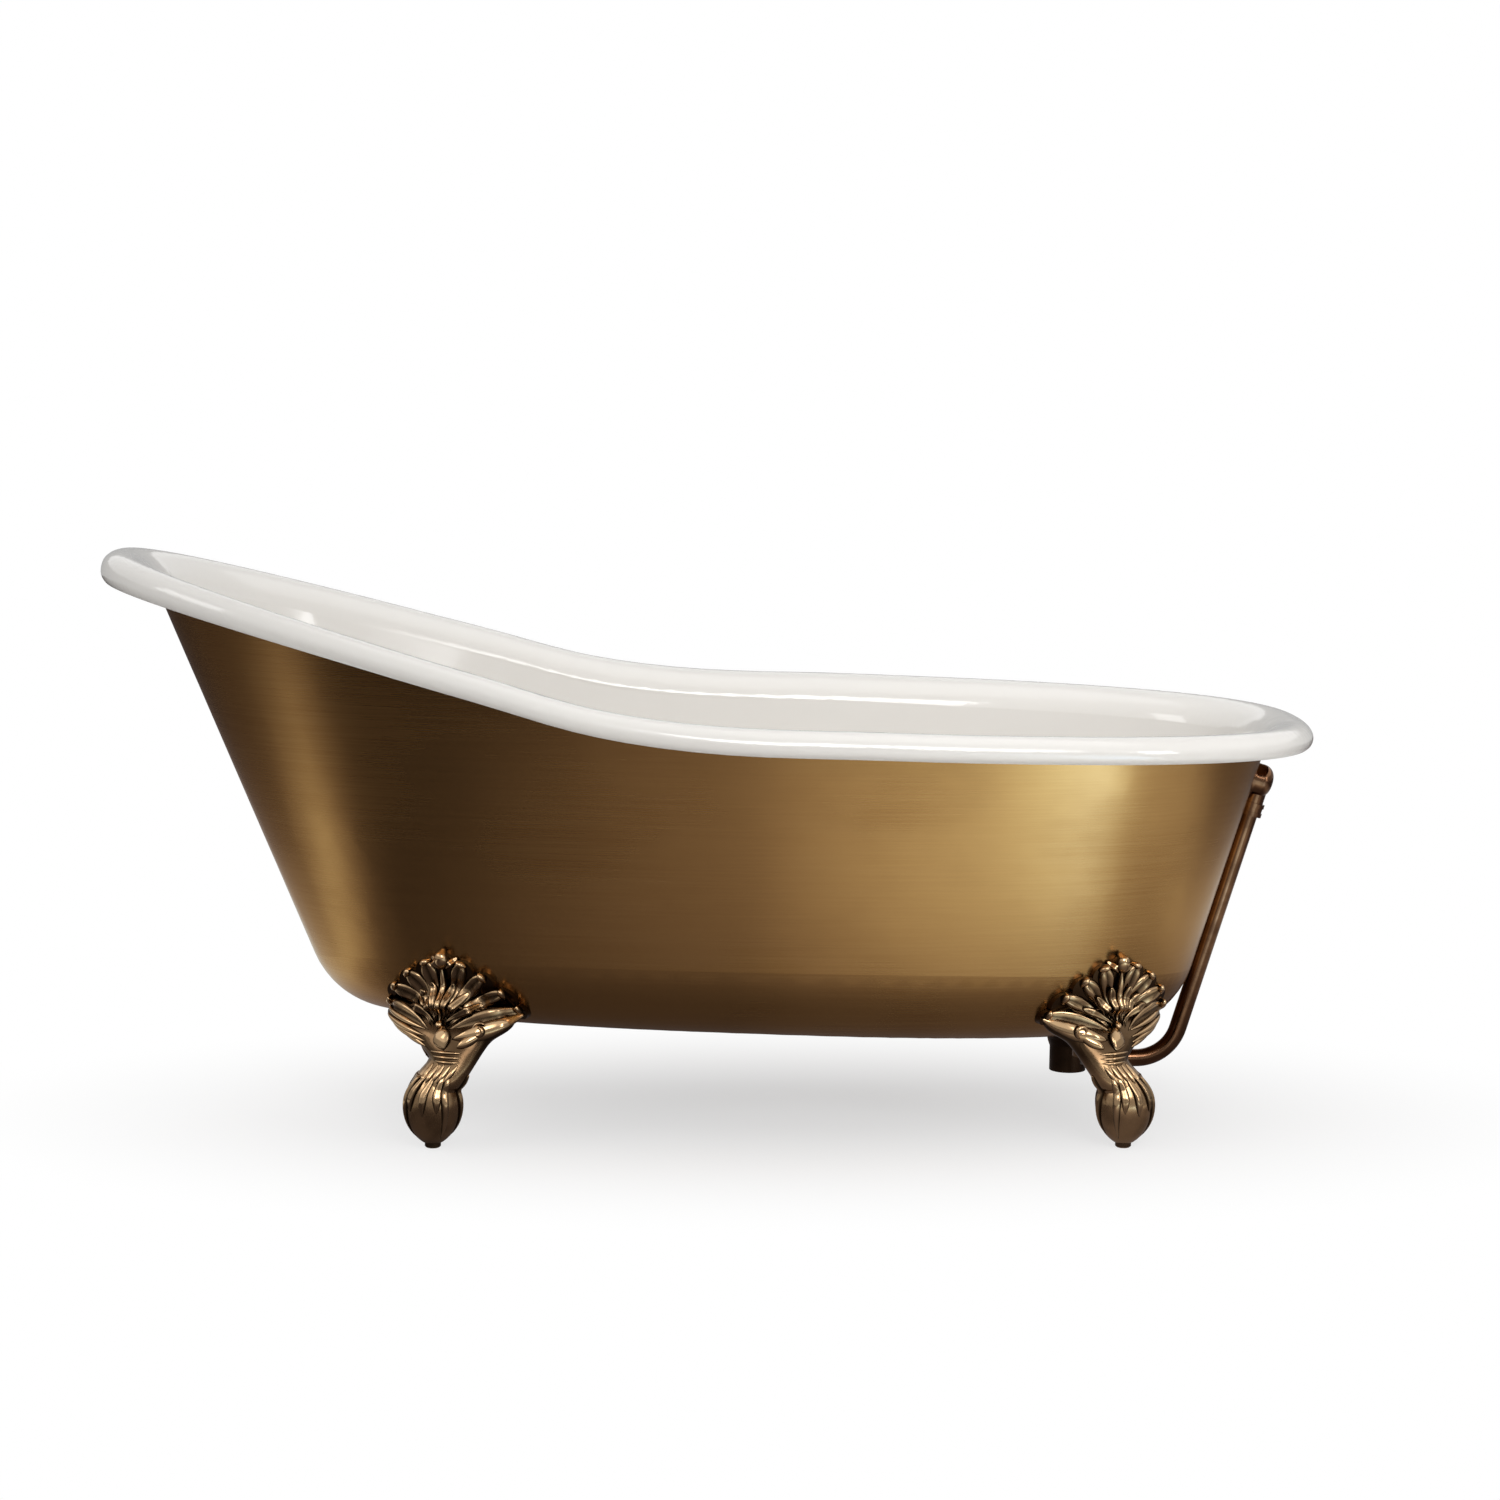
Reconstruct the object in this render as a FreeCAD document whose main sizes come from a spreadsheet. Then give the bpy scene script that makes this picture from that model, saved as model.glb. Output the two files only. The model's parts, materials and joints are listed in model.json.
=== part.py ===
import FreeCAD, Part
import math
import os
import re
from functools import lru_cache

import Sketcher
from FreeCAD import Placement, Rotation, Vector

# A cast iron slipper bath on four claw feet, with an exposed overflow pipe.
# Millimetres and degrees. +X runs to the drain end and +Z is up. The origin is on the floor,
# under the middle of the rim. Left is +Y, as seen from the high slipper end.

SIZES = [
    # Rim, seen from above and from the side
    ("bath_length", 1700),
    ("bath_width", 760),
    ("oval_power", 2.5),
    ("egg_share", 0.12),
    ("rim_height_slipper", 793),
    ("rim_height_waist", 596),
    ("rim_height_drain", 571),
    ("waist_from_drain_end", 955),
    ("waist_blend", 38),
    # Roll of the rim, outwards from the inside wall and down from the crest
    ("roll_width", 74),
    ("roll_extra_slipper", 14),
    ("roll_rise", 38),
    ("crest_inset", 25),
    ("lip_drop", 21),
    ("lip_extra_slipper", 12),
    ("lip_radius", 16),
    ("lip_sweep", 60),
    ("curve_share", 0.55),
    # How far the rim reaches past the tub's bottom, and the bottom itself, measured outside
    ("overhang_slipper", 322),
    ("overhang_drain", 186),
    ("overhang_side", 125),
    ("bottom_height_slipper", 152),
    ("bottom_height_drain", 124),
    ("bottom_radius", 130),
    # Layers of the wall
    ("enamel_thickness", 1.5),
    ("casting_wall", 6),
    ("skin_thickness", 1.2),
    # Clearances
    ("seat_gap", 0.3),
    ("thread_gap", 0.05),
    ("hole_gap", 0.5),
    ("cut_overrun", 5),
    # Places of the feet, from the rim's ends and sides
    ("foot_from_end_slipper", 468),
    ("foot_from_end_drain", 285),
    ("foot_from_side", 140),
    ("foot_turn_slipper", 22),
    ("foot_turn_drain", 25),
    # Leaf fan of a foot, from the middle height of the tub's bottom
    ("fan_top_rise", 126),
    ("fan_base_rise", 34),
    ("fan_width", 206),
    ("fan_thickness", 9),
    ("fan_depth", 130),
    # Leg, ball and arm of a foot
    ("knee_depth", 68),
    ("knee_width", 80),
    ("leg_setback", 38),
    ("leg_lean", 24),
    ("ankle_height", 98),
    ("ball_radius", 38.5),
    ("arm_thickness", 12),
    ("arm_root_setback", 25),
    # Lug, stud, washer and nut of a foot
    ("lug_setback_slipper", 112),
    ("lug_setback_drain", 92),
    ("lug_drop_slipper", 20),
    ("lug_drop_drain", 2),
    ("lug_radius", 22),
    ("lug_height", 60),
    ("stud_radius", 6),
    ("stud_grip", 20),
    ("stud_tail", 3),
    ("washer_radius", 14),
    ("washer_thickness", 2.5),
    ("nut_corner_radius", 11),
    ("nut_height", 10),
    # Leveller under a ball
    ("toe_radius", 11),
    ("toe_height", 8),
    ("toe_round", 2),
    ("leveller_stem_radius", 8),
    ("leveller_stem_length", 40),
    ("leveller_socket_spare", 4),
    # Drain flange and its seals
    ("drain_from_end", 330),
    ("drain_hole_radius", 24),
    ("flange_radius", 36),
    ("flange_edge", 1.5),
    ("flange_height", 4.5),
    ("flange_land", 3.5),
    ("dish_radius", 30),
    ("dish_slope", 1),
    ("throat_radius", 18.5),
    ("flange_tube_radius", 22),
    ("flange_tube_length", 42),
    ("drain_seal_radius", 34),
    ("drain_seal_inset", 0.5),
    ("drain_seal_upper", 2),
    ("drain_seal_lower", 3),
    # Bar across the drain, and the stopper on its post
    ("bar_drop", 26),
    ("bar_height", 6),
    ("bar_width", 6),
    ("bar_hub_radius", 7),
    ("post_screw_radius", 3),
    ("post_radius", 4),
    ("post_top", 11),
    ("stopper_radius", 29.3),
    ("stopper_edge", 1.5),
    ("stopper_dome", 6),
    ("stopper_shoulder_share", 0.75),
    ("stopper_hub_radius", 16),
    ("stopper_hub_depth", 5),
    ("stopper_guide_radius", 8),
    ("stopper_guide_depth", 17),
    ("stopper_socket_top", 14),
    ("stopper_knob_radius", 8),
    ("stopper_knob_neck", 5.5),
    ("stopper_knob_height", 12),
    ("stopper_seal_radius", 28),
    ("stopper_seal_thickness", 2.5),
    # Waste shoe under the drain, with its heights down from the tub's bottom
    ("shoe_flange_radius", 46),
    ("shoe_flange_thickness", 5),
    ("shoe_tail_radius", 26),
    ("shoe_bell_drop", 31),
    ("shoe_depth", 69),
    ("outlet_radius", 20),
    ("inlet_drop", 52),
    ("inlet_boss_radius", 14.4),
    ("inlet_boss_reach", 66),
    # Overflow tube, its union nuts and compression rings
    ("tube_radius", 12.5),
    ("tube_wall", 1.5),
    ("tube_bend_radius", 62),
    ("tube_entry", 14),
    ("tube_gap", 6),
    ("union_radius", 16.3),
    ("union_bead_radius", 17.6),
    ("union_bead_width", 6),
    ("union_overlap", 8),
    ("union_collar", 6),
    ("ring_length", 5),
    # Overflow head outside and face inside the drain end
    ("overflow_drop", 87),
    ("overflow_hole_radius", 20),
    ("overflow_seal_radius", 29),
    ("overflow_seal_thickness", 2.5),
    ("head_flange_radius", 30),
    ("head_flange_thickness", 4),
    ("head_dome_radius", 24),
    ("head_depth", 35),
    ("head_round", 16),
    ("head_cavity_radius", 17),
    ("head_cavity_depth", 22),
    ("head_spigot_length", 40),
    ("head_post_radius", 6),
    ("head_post_front", 6),
    ("face_radius", 32),
    ("face_edge", 2),
    ("face_height", 6),
    ("face_standoff", 4),
    ("face_hole_radius", 4.5),
    ("face_hole_circle", 14),
    ("face_hole_count", 6),
    ("face_top_share", 0.7),
    ("screw_radius", 3),
    ("screw_head_radius", 5.5),
    ("screw_head_height", 3),
    ("screw_engagement", 12),
    ("screw_spare", 3),
]

# Outlines, as shares of the sizes above. Arcs of the fan: start, through, end, through, end, and on.
FAN_SHARES = [
    (0.00, 1.00), (0.09, 0.93), (0.13, 0.84), (0.30, 0.86), (0.40, 0.68), (0.58, 0.68), (0.66, 0.46),
    (0.84, 0.42), (0.90, 0.20), (1.00, 0.08), (0.92, -0.06), (0.62, -0.10), (0.34, -0.32),
]
# Sections of the leg: height, setback, lean, depth and width
LEG_SHARES = [
    (0.36, 0.00, 0.20, 0.55, 0.52), (0.50, 0.00, 0.70, 0.62, 0.56), (0.58, 0.12, 0.95, 0.70, 0.63),
    (0.70, 0.45, 1.00, 0.80, 0.84), (0.785, 0.75, 0.75, 0.95, 1.15), (0.85, 1.00, 0.50, 1.00, 1.50),
    (0.92, 1.35, 0.20, 1.10, 2.10), (0.99, 1.60, 0.00, 1.00, 2.35), (1.08, 1.50, 0.00, 0.80, 1.60),
    (1.19, 1.35, 0.00, 0.60, 0.80), (1.32, 1.20, 0.00, 0.36, 0.40),
]
# Bell of the waste shoe: outwards and up, between its tail and its flange
BELL_SHARES = [(0.12, 0.35), (0.40, 0.72)]
# Profile of the ball: radius and height, from the toe to the ankle
BALL_SHARES = [
    (0.36, 0.00), (0.68, 0.13), (0.92, 0.32), (1.00, 0.53), (0.93, 0.75), (0.74, 0.93), (0.58, 1.05),
]

RING_POINTS = 48
SEAM_STEP = 0.0001
FILLET_STEPS = [0, 0.2, 0.4, 0.6, 0.8, 1]
WALL_STEPS = [1, 2]
ROLL_STEPS = [2, 2.2, 2.4, 2.6, 2.8, 3, 3.25, 3.5, 3.75, 4, 4.34, 4.67, 5]
UP = Vector(0, 0, 1)

doc = FreeCAD.newDocument("SlipperBath")
dims = doc.addObject("Spreadsheet::Sheet", "Dims")
for row, (alias, number) in enumerate(SIZES, start=1):
    dims.set("A%d" % row, alias)
    dims.set("B%d" % row, str(number))
    dims.setAlias("B%d" % row, alias)
doc.recompute()
nodes = []


def size(expression):
    """The value of an expression in the sheet's sizes."""
    return float(dims.evalExpression(expression))


def bound(expression):
    """The same expression, as another object of the document reads it."""
    return re.sub(r"[a-z_]\w*(?![\w(])", lambda name: "Dims." + name.group(), expression)


# Shape of the tub: an oval round the plan, and one section at each angle round it

half_length = size("bath_length / 2")
half_width = size("bath_width / 2")
oval_power = size("oval_power")
egg_share = size("egg_share")
widest_share = egg_share ** (1 / (oval_power - 1))
egg_scale = (1 - widest_share ** oval_power) ** (1 / oval_power) * (1 + egg_share * widest_share)


def oval(centre_x, long_radius, short_radius, angle):
    """A point of an egg-shaped oval, blunt towards the drain."""
    cosine = math.cos(angle)
    sine = math.sin(angle)
    along = math.copysign(abs(cosine) ** (2 / oval_power), cosine)
    across = math.copysign(abs(sine) ** (2 / oval_power), sine)
    return centre_x + long_radius * along, short_radius * across * (1 + egg_share * along) / egg_scale


rim_height_drain = size("rim_height_drain")
rim_fall = size("(rim_height_waist - rim_height_drain) / waist_from_drain_end")
waist_x = half_length - size("waist_from_drain_end")
waist_blend = size("waist_blend")


def climb_length(x):
    """Distance from x back to the waist, rounded off there."""
    reach = (waist_x - x) / waist_blend
    return waist_blend * (max(reach, 0) + math.log1p(math.exp(-abs(reach))))


crest_end = half_length - size("crest_inset")
level_at_slipper = rim_height_drain + rim_fall * 2 * crest_end
rim_climb = (size("rim_height_slipper") - level_at_slipper) / climb_length(-crest_end)


def rim_point(inset, drop, angle):
    """A point of the rim, inset from its outline and below its crest."""
    x, y = oval(0, half_length - inset, half_width - inset, angle)
    crest = rim_height_drain + rim_fall * (crest_end - x) + rim_climb * climb_length(x)
    return Vector(x, y, crest - drop)


WALL = "(enamel_thickness + casting_wall + skin_thickness)"
BOTTOM_LENGTH = "(bath_length - overhang_slipper - overhang_drain)"
BOTTOM_END = "(bath_length / 2 - overhang_drain)"
FALL = f"((bottom_height_slipper - bottom_height_drain) / {BOTTOM_LENGTH})"
wall_total = size(WALL)
bottom_shift = size("(overhang_slipper - overhang_drain) / 2")
bottom_half_length = size(f"{BOTTOM_LENGTH} / 2")
bottom_half_width = size("bath_width / 2 - overhang_side")
bottom_fall = size(FALL)
floor_down = Vector(-bottom_fall, 0, -1).normalize()


def bottom_height(x):
    """Height of the tub's underside along the tub."""
    return size("bottom_height_drain") + bottom_fall * (size(BOTTOM_END) - x)


def corner_point(angle):
    """Where the wet wall would meet the wet floor without a fillet."""
    x, y = oval(bottom_shift, bottom_half_length - wall_total, bottom_half_width - wall_total, angle)
    return Vector(x, y, bottom_height(x) + wall_total / -floor_down.z)


roll_width = size("roll_width")
roll_rise = size("roll_rise")
crest_inset = size("crest_inset")
lip_drop = size("lip_drop")
roll_extra = size("roll_extra_slipper")
lip_extra = size("lip_extra_slipper")
lip_radius = size("lip_radius")
lip_sweep = math.radians(size("lip_sweep"))
curve_share = size("curve_share")
fillet_radius = size("bottom_radius") - wall_total


@lru_cache(maxsize=None)
def section(angle):
    """The lines and arcs of the wet face at one angle round the oval."""
    corner = corner_point(angle)
    along = corner_point(angle + SEAM_STEP) - corner_point(angle - SEAM_STEP)
    inward = Vector(-along.y, along.x, 0).normalize()
    inward = (inward + UP * (-bottom_fall * inward.x)).normalize()
    towards_slipper = max(-math.cos(angle), 0) ** 3
    drop = lip_drop + lip_extra * towards_slipper
    top = rim_point(roll_width + roll_extra * towards_slipper, roll_rise, angle)
    crest = rim_point(crest_inset, 0, angle)
    side = rim_point(0, drop, angle)
    rise = (top - corner).normalize()
    level = Vector(crest.x - top.x, crest.y - top.y, 0)
    half_angle = math.acos(inward.dot(rise)) / 2
    tangent = fillet_radius / math.tan(half_angle)
    middle = (inward + rise).normalize()
    centre = corner + middle * (fillet_radius / math.sin(half_angle))
    start = corner + inward * tangent - centre
    finish = corner + rise * tangent - centre
    sweep = math.pi - 2 * half_angle
    turn = (finish - start * math.cos(sweep)) * (1 / math.sin(sweep))
    return {"foot": corner + rise * tangent, "centre": centre, "start": start, "turn": turn, "sweep": sweep,
            "top": top, "crest": crest, "side": side, "drop": drop, "rise": rise, "level": level}


def curve(first, second, third, fourth, share):
    rest = 1 - share
    return (first * rest ** 3 + second * (3 * rest ** 2 * share)
            + third * (3 * rest * share ** 2) + fourth * share ** 3)


def wet_point(angle, step):
    """A point of the wet face: step 0 to 1 fillet, to 2 wall, to 4 roll, to 5 lip."""
    part = section(angle)
    top, crest, side = part["top"], part["crest"], part["side"]
    outward = Vector(part["level"]).normalize()
    if step <= 1:
        turned = part["sweep"] * step
        return part["centre"] + part["start"] * math.cos(turned) + part["turn"] * math.sin(turned)
    if step <= 2:
        return part["foot"] + (top - part["foot"]) * (step - 1)
    if step <= 3:
        lead_in = top + part["rise"] * (curve_share * roll_rise / part["rise"].z)
        return curve(top, lead_in, crest - part["level"] * curve_share, crest, step - 2)
    if step <= 4:
        lead_in = crest + outward * (curve_share * crest_inset)
        return curve(crest, lead_in, side + UP * (curve_share * part["drop"]), side, step - 3)
    turned = lip_sweep * (step - 4)
    inside = outward * (lip_radius * (1 - math.cos(turned)))
    return side - inside - UP * (lip_radius * math.sin(turned))


def layer_point(angle, step, depth):
    """A point at a depth behind the wet face."""
    here = wet_point(angle, step)
    if step == 0:
        return here + floor_down * depth
    along = wet_point(angle + SEAM_STEP, step) - wet_point(angle - SEAM_STEP, step)
    across = wet_point(angle, min(step + SEAM_STEP, 5)) - wet_point(angle, step - SEAM_STEP)
    return here + along.cross(across).normalize() * depth


ring_angles = [2 * math.pi * index / RING_POINTS for index in range(RING_POINTS)]


def closed_wire(points):
    spline = Part.BSplineCurve()
    knots = [float(index) for index in range(RING_POINTS + 1)]
    spline.interpolate(Points=points, PeriodicFlag=True, Parameters=knots)
    return Part.Wire(spline.toShape())


def ring(step, depth):
    return closed_wire([layer_point(angle, step, depth) for angle in ring_angles])


def level_ring(height, depth):
    """A level ring round the straight part of the wall."""
    points = []
    for angle in ring_angles:
        low = layer_point(angle, FILLET_STEPS[-1], depth)
        high = layer_point(angle, WALL_STEPS[-1], depth)
        points.append(low + (high - low) * ((height - low.z) / (high.z - low.z)))
    return closed_wire(points)


def strip(wires, ruled):
    """The face that passes through a row of rings."""
    return Part.makeLoft(wires, False, ruled).Faces


def solid_of(faces):
    shell = Part.makeShell(faces)
    shell.sewShape()
    solid = Part.Solid(shell)
    if solid.Volume < 0:
        solid.reverse()
    return solid


def layer(near, far):
    """The tub's wall between two depths, closed at the lip."""
    faces = strip([ring(ROLL_STEPS[-1], near), ring(ROLL_STEPS[-1], far)], True)
    for depth in (near, far):
        faces.append(Part.Face(ring(FILLET_STEPS[0], depth)))
        for steps in (FILLET_STEPS, WALL_STEPS, ROLL_STEPS):
            faces += strip([ring(step, depth) for step in steps], steps is WALL_STEPS)
    return solid_of(faces)


def filled_tub(depth):
    """The space inside the tub below the rim, out to a depth behind the wet face."""
    lid = level_ring(size("rim_height_drain - roll_rise - lip_radius"), depth)
    rings_up = [ring(step, depth) for step in FILLET_STEPS]
    faces = [Part.Face(rings_up[0]), Part.Face(lid)]
    faces += strip(rings_up, False) + strip([rings_up[-1], lid], True)
    return solid_of(faces)


# Ways of making the smaller pieces

def add_node(item, label):
    item.Label = label
    nodes.append(item)
    return item


def shaped(label, shape):
    """A piece whose form follows the tub's curves."""
    item = doc.addObject("Part::Feature", label)
    item.Shape = max(shape.Solids, key=lambda solid: solid.Volume)
    return add_node(item, label)


def attach(sketch, body, role):
    plane = next(item for item in body.Origin.OriginFeatures if item.Role == role)
    sketch.AttachmentSupport = [(plane, "")]
    sketch.MapMode = "FlatFace"


def bind(sketch, kind, picks, expression):
    index = sketch.addConstraint(Sketcher.Constraint(kind, *picks, size(expression)))
    sketch.setExpression("Constraints[%d]" % index, bound(expression))


def outline(body, name, role, corners):
    """A closed sketch of straight lines, each corner bound to the sheet."""
    sketch = body.newObject("Sketcher::SketchObject", name)
    attach(sketch, body, role)
    places = [Vector(size(x), size(y), 0) for x, y in corners]
    for index, place in enumerate(places):
        sketch.addGeometry(Part.LineSegment(place, places[(index + 1) % len(places)]), False)
    for index in range(len(places)):
        sketch.addConstraint(Sketcher.Constraint("Coincident", index, 2, (index + 1) % len(places), 1))
    for index, (x, y) in enumerate(corners):
        bind(sketch, "DistanceX", (-1, 1, index, 1), x)
        bind(sketch, "DistanceY", (-1, 1, index, 1), y)
    return sketch


def rings(body, name, role, radii, across="0", up="0"):
    """A sketch of circles round one centre."""
    sketch = body.newObject("Sketcher::SketchObject", name)
    attach(sketch, body, role)
    for radius in radii:
        centre = Vector(size(across), size(up), 0)
        circle = sketch.addGeometry(Part.Circle(centre, UP, size(radius)), False)
        bind(sketch, "DistanceX", (-1, 1, circle, 3), across)
        bind(sketch, "DistanceY", (-1, 1, circle, 3), up)
        bind(sketch, "Radius", (circle,), radius)
    return sketch


def revolved(label, corners, place):
    """A turned piece: its half section, radius and height, spun round its own axis."""
    body = doc.addObject("PartDesign::Body", label)
    turning = body.newObject("PartDesign::Revolution", label + "_turning")
    turning.Profile = outline(body, label + "_section", "XZ_Plane", corners)
    turning.ReferenceAxis = (turning.Profile[0], ["V_Axis"])
    turning.Angle = 360
    body.Placement = place
    return add_node(body, label)


def cylinder(name, radius, length, base, turn=Rotation()):
    """A round bar or hole, from a base point along its own axis."""
    item = doc.addObject("Part::Cylinder", name)
    item.Placement = Placement(base, turn)
    item.setExpression("Radius", bound(radius))
    item.setExpression("Height", bound(length))
    return item


def cut(name, base, tool):
    item = doc.addObject("Part::Cut", name)
    item.Base = base
    item.Tool = tool
    return item


def group(label, items):
    item = doc.addObject("Part::Compound", label)
    item.Links = items
    return add_node(item, label)


# Feet: where each stands and which way it faces

FEET = [("slipper", "right"), ("slipper", "left"), ("drain", "right"), ("drain", "left")]


def foot_place(end, side):
    """The frame of a foot: its own X faces outwards, its origin is on the floor under the ball."""
    along = -1 if end == "slipper" else 1
    across = -1 if side == "right" else 1
    from_middle = along * size("bath_length / 2 - foot_from_end_" + end)
    place = Vector(from_middle, across * size("bath_width / 2 - foot_from_side"), 0)
    turn = size("foot_turn_" + end)
    return Placement(place, Rotation(UP, across * (90 - along * turn)))


def lug_seat(end):
    """The middle of a lug's seat, under the tub and behind the foot, in the foot's own frame."""
    return Vector(-size("lug_setback_" + end), 0, size(f"bottom_height_{end} - lug_drop_{end}"))


def lug_place(end, side):
    return foot_place(end, side).multVec(lug_seat(end))


# Tub: the casting, the enamel on its wet face and the brass on its outside

lining_back = size("enamel_thickness")
casting_back = size("enamel_thickness + casting_wall")
casting = layer(lining_back, casting_back)
lining = layer(0, lining_back)
skin = layer(casting_back, wall_total)

casting_middle = filled_tub((lining_back + casting_back) / 2)
for end, side in FEET:
    seat = lug_place(end, side)
    lug = Part.makeCylinder(size("lug_radius"), size("lug_height"), seat)
    casting = casting.fuse(lug.cut(casting_middle))
    stud_hole = Part.makeCylinder(size("stud_radius + thread_gap"), size("stud_grip + stud_tail"), seat)
    casting = casting.cut(stud_hole)
    skin = skin.cut(Part.makeCylinder(size("lug_radius + hole_gap"), size("lug_height"), seat))

FLOOR_RISE = f"({WALL} * sqrt(1 + {FALL} ^ 2))"
DRAIN_X = "(bath_length / 2 - drain_from_end)"
DRAIN_UNDER = f"(bottom_height_drain + {FALL} * ({BOTTOM_END} - {DRAIN_X}))"
DRAIN_SEAT = f"({DRAIN_UNDER} + {FLOOR_RISE} + drain_seal_upper)"
drain_x = size(DRAIN_X)
drain_place = Placement(Vector(drain_x, 0, size(DRAIN_SEAT)), Rotation())
drain_hole = Part.makeCylinder(
    size("drain_hole_radius"), size(f"{FLOOR_RISE} + 4 * cut_overrun"),
    Vector(drain_x, 0, size(f"{DRAIN_UNDER} - 2 * cut_overrun")))

# The drain end's wall leans outwards. Its lean, and the overflow's axis on its brass face.
CORNER_X = f"({BOTTOM_END} - {WALL})"
CORNER_Z = f"(bottom_height_drain + {FALL} * {WALL} + {FLOOR_RISE})"
TOP_X = "(bath_length / 2 - roll_width)"
TOP_Z = ("(rim_height_drain - roll_rise"
         " + (rim_height_waist - rim_height_drain) * (roll_width - crest_inset) / waist_from_drain_end)")
LEAN = f"atan(({TOP_X} - {CORNER_X}) / ({TOP_Z} - {CORNER_Z}))"
OVERFLOW_HEIGHT = "(rim_height_drain - overflow_drop)"


def wall_x(outwards, upwards="0"):
    """The X of a point out from the end wall's brass and up along it, from the overflow's axis."""
    wet_x = f"{CORNER_X} + ({OVERFLOW_HEIGHT} - {CORNER_Z}) * tan({LEAN})"
    return f"({wet_x} + ({WALL} + {outwards}) * cos({LEAN}) + ({upwards}) * sin({LEAN}))"


def wall_z(outwards, upwards="0"):
    """The Z of the same point."""
    return f"({OVERFLOW_HEIGHT} - ({WALL} + {outwards}) * sin({LEAN}) + ({upwards}) * cos({LEAN}))"


def wall_point(outwards, upwards="0"):
    return Vector(size(wall_x(outwards, upwards)), 0, size(wall_z(outwards, upwards)))


end_rise = (wall_point("0", "bath_length") - wall_point("0")).normalize()
end_normal = Vector(end_rise.z, 0, -end_rise.x)
overflow_place = Placement(wall_point("0"), Rotation(end_rise, Vector(), end_normal, "ZXY"))
overflow_hole = Part.makeCylinder(
    size("overflow_hole_radius"), size(f"{WALL} + 4 * cut_overrun"),
    wall_point(f"-{WALL} - 2 * cut_overrun"), end_normal)
casting = casting.cut(drain_hole).cut(overflow_hole)
lining = lining.cut(drain_hole).cut(overflow_hole)
skin = skin.cut(drain_hole).cut(overflow_hole)
shaped("tub_casting", casting)
shaped("enamel_lining", lining)
shaped("brass_skin", skin)


# Claw feet

fan_base = size("(bottom_height_slipper + bottom_height_drain) / 2 + fan_base_rise")


def fan_face():
    """The leaf fan's outline, upright and across the foot."""
    half_fan = size("fan_width / 2")
    rise = size("fan_top_rise - fan_base_rise")
    right = [Vector(0, across * half_fan, fan_base + up * rise) for across, up in FAN_SHARES]
    left = [Vector(0, -point.y, point.z) for point in reversed(right)]
    edges = []
    for half in (right, left):
        for index in range(0, len(half) - 1, 2):
            edges.append(Part.Arc(half[index], half[index + 1], half[index + 2]).toShape())
    edges.insert(len(edges) // 2, Part.LineSegment(right[-1], left[0]).toShape())
    return Part.Face(Part.Wire(edges))


def leg_solid(inner):
    """The leg, flared at the top to carry the leaves, and leaning to the tub's middle."""
    wires = []
    for height, setback, lean, depth, width in LEG_SHARES:
        centre = Vector(-setback * size("leg_setback"), inner * lean * size("leg_lean"), height * fan_base)
        half_depth = depth * size("knee_depth / 2")
        half_knee = width * size("knee_width / 2")
        bound_points = [centre + Vector(half_depth * math.cos(angle), half_knee * math.sin(angle), 0)
                        for angle in ring_angles]
        wires.append(closed_wire(bound_points))
    return Part.makeLoft(wires, True, False)


def ball_solid():
    toe = size("toe_height")
    rise = size("ankle_height - toe_height")
    points = [Vector(radius * size("ball_radius"), 0, toe + up * rise) for radius, up in BALL_SHARES]
    profile = Part.BSplineCurve()
    profile.interpolate(Points=points)
    low = Vector(0, 0, points[0].z)
    high = Vector(0, 0, points[-1].z)
    edges = [Part.LineSegment(low, points[0]).toShape(), profile.toShape(),
             Part.LineSegment(points[-1], high).toShape(), Part.LineSegment(high, low).toShape()]
    return Part.Face(Part.Wire(edges)).revolve(Vector(), UP, 360)


def arm_solid(end):
    """The arm that reaches back under the tub to the lug."""
    thickness = size("arm_thickness")
    radius = size("lug_radius")
    under = lug_seat(end) - UP * thickness
    length = -under.x - size("arm_root_setback")
    bar = Part.makeBox(length, 2 * radius, thickness, under - Vector(0, radius, 0))
    return bar.fuse(Part.makeCylinder(radius, thickness, under))


fan_prism = fan_face().extrude(Vector(-size("fan_depth"), 0, 0))
ball = ball_solid()
leveller_socket = Part.makeCylinder(
    size("leveller_stem_radius + thread_gap"), size("leveller_stem_length + leveller_socket_spare"),
    Vector(0, 0, size("toe_height")))
tub_outside = filled_tub(wall_total + size("seat_gap"))
fan_outside = filled_tub(wall_total + size("seat_gap + fan_thickness"))


def claw_foot(end, side):
    """A leaf fan on the tub's wall, a leg and a ball, and an arm that is bolted to the lug."""
    seat = lug_seat(end)
    stud_hole = Part.makeCylinder(
        size("stud_radius + hole_gap"), size("arm_thickness + cut_overrun"),
        seat - UP * size("arm_thickness + cut_overrun"))
    lug_room = Part.makeCylinder(size("lug_radius + hole_gap"), size("lug_height"), seat)
    fan = fan_prism.copy()
    inner = 1 if (end == "slipper") == (side == "right") else -1
    leg = leg_solid(inner).fuse(ball).fuse(arm_solid(end))
    holes = leveller_socket.fuse(stud_hole).fuse(lug_room)
    for shape in (fan, leg, holes):
        shape.Placement = foot_place(end, side)
    return fan.common(fan_outside).fuse(leg).cut(tub_outside).cut(holes)


for end, side in FEET:
    shaped("claw_foot_%s_%s" % (end, side), claw_foot(end, side))


# Studs, washers and nuts that hold the feet to the lugs

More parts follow.
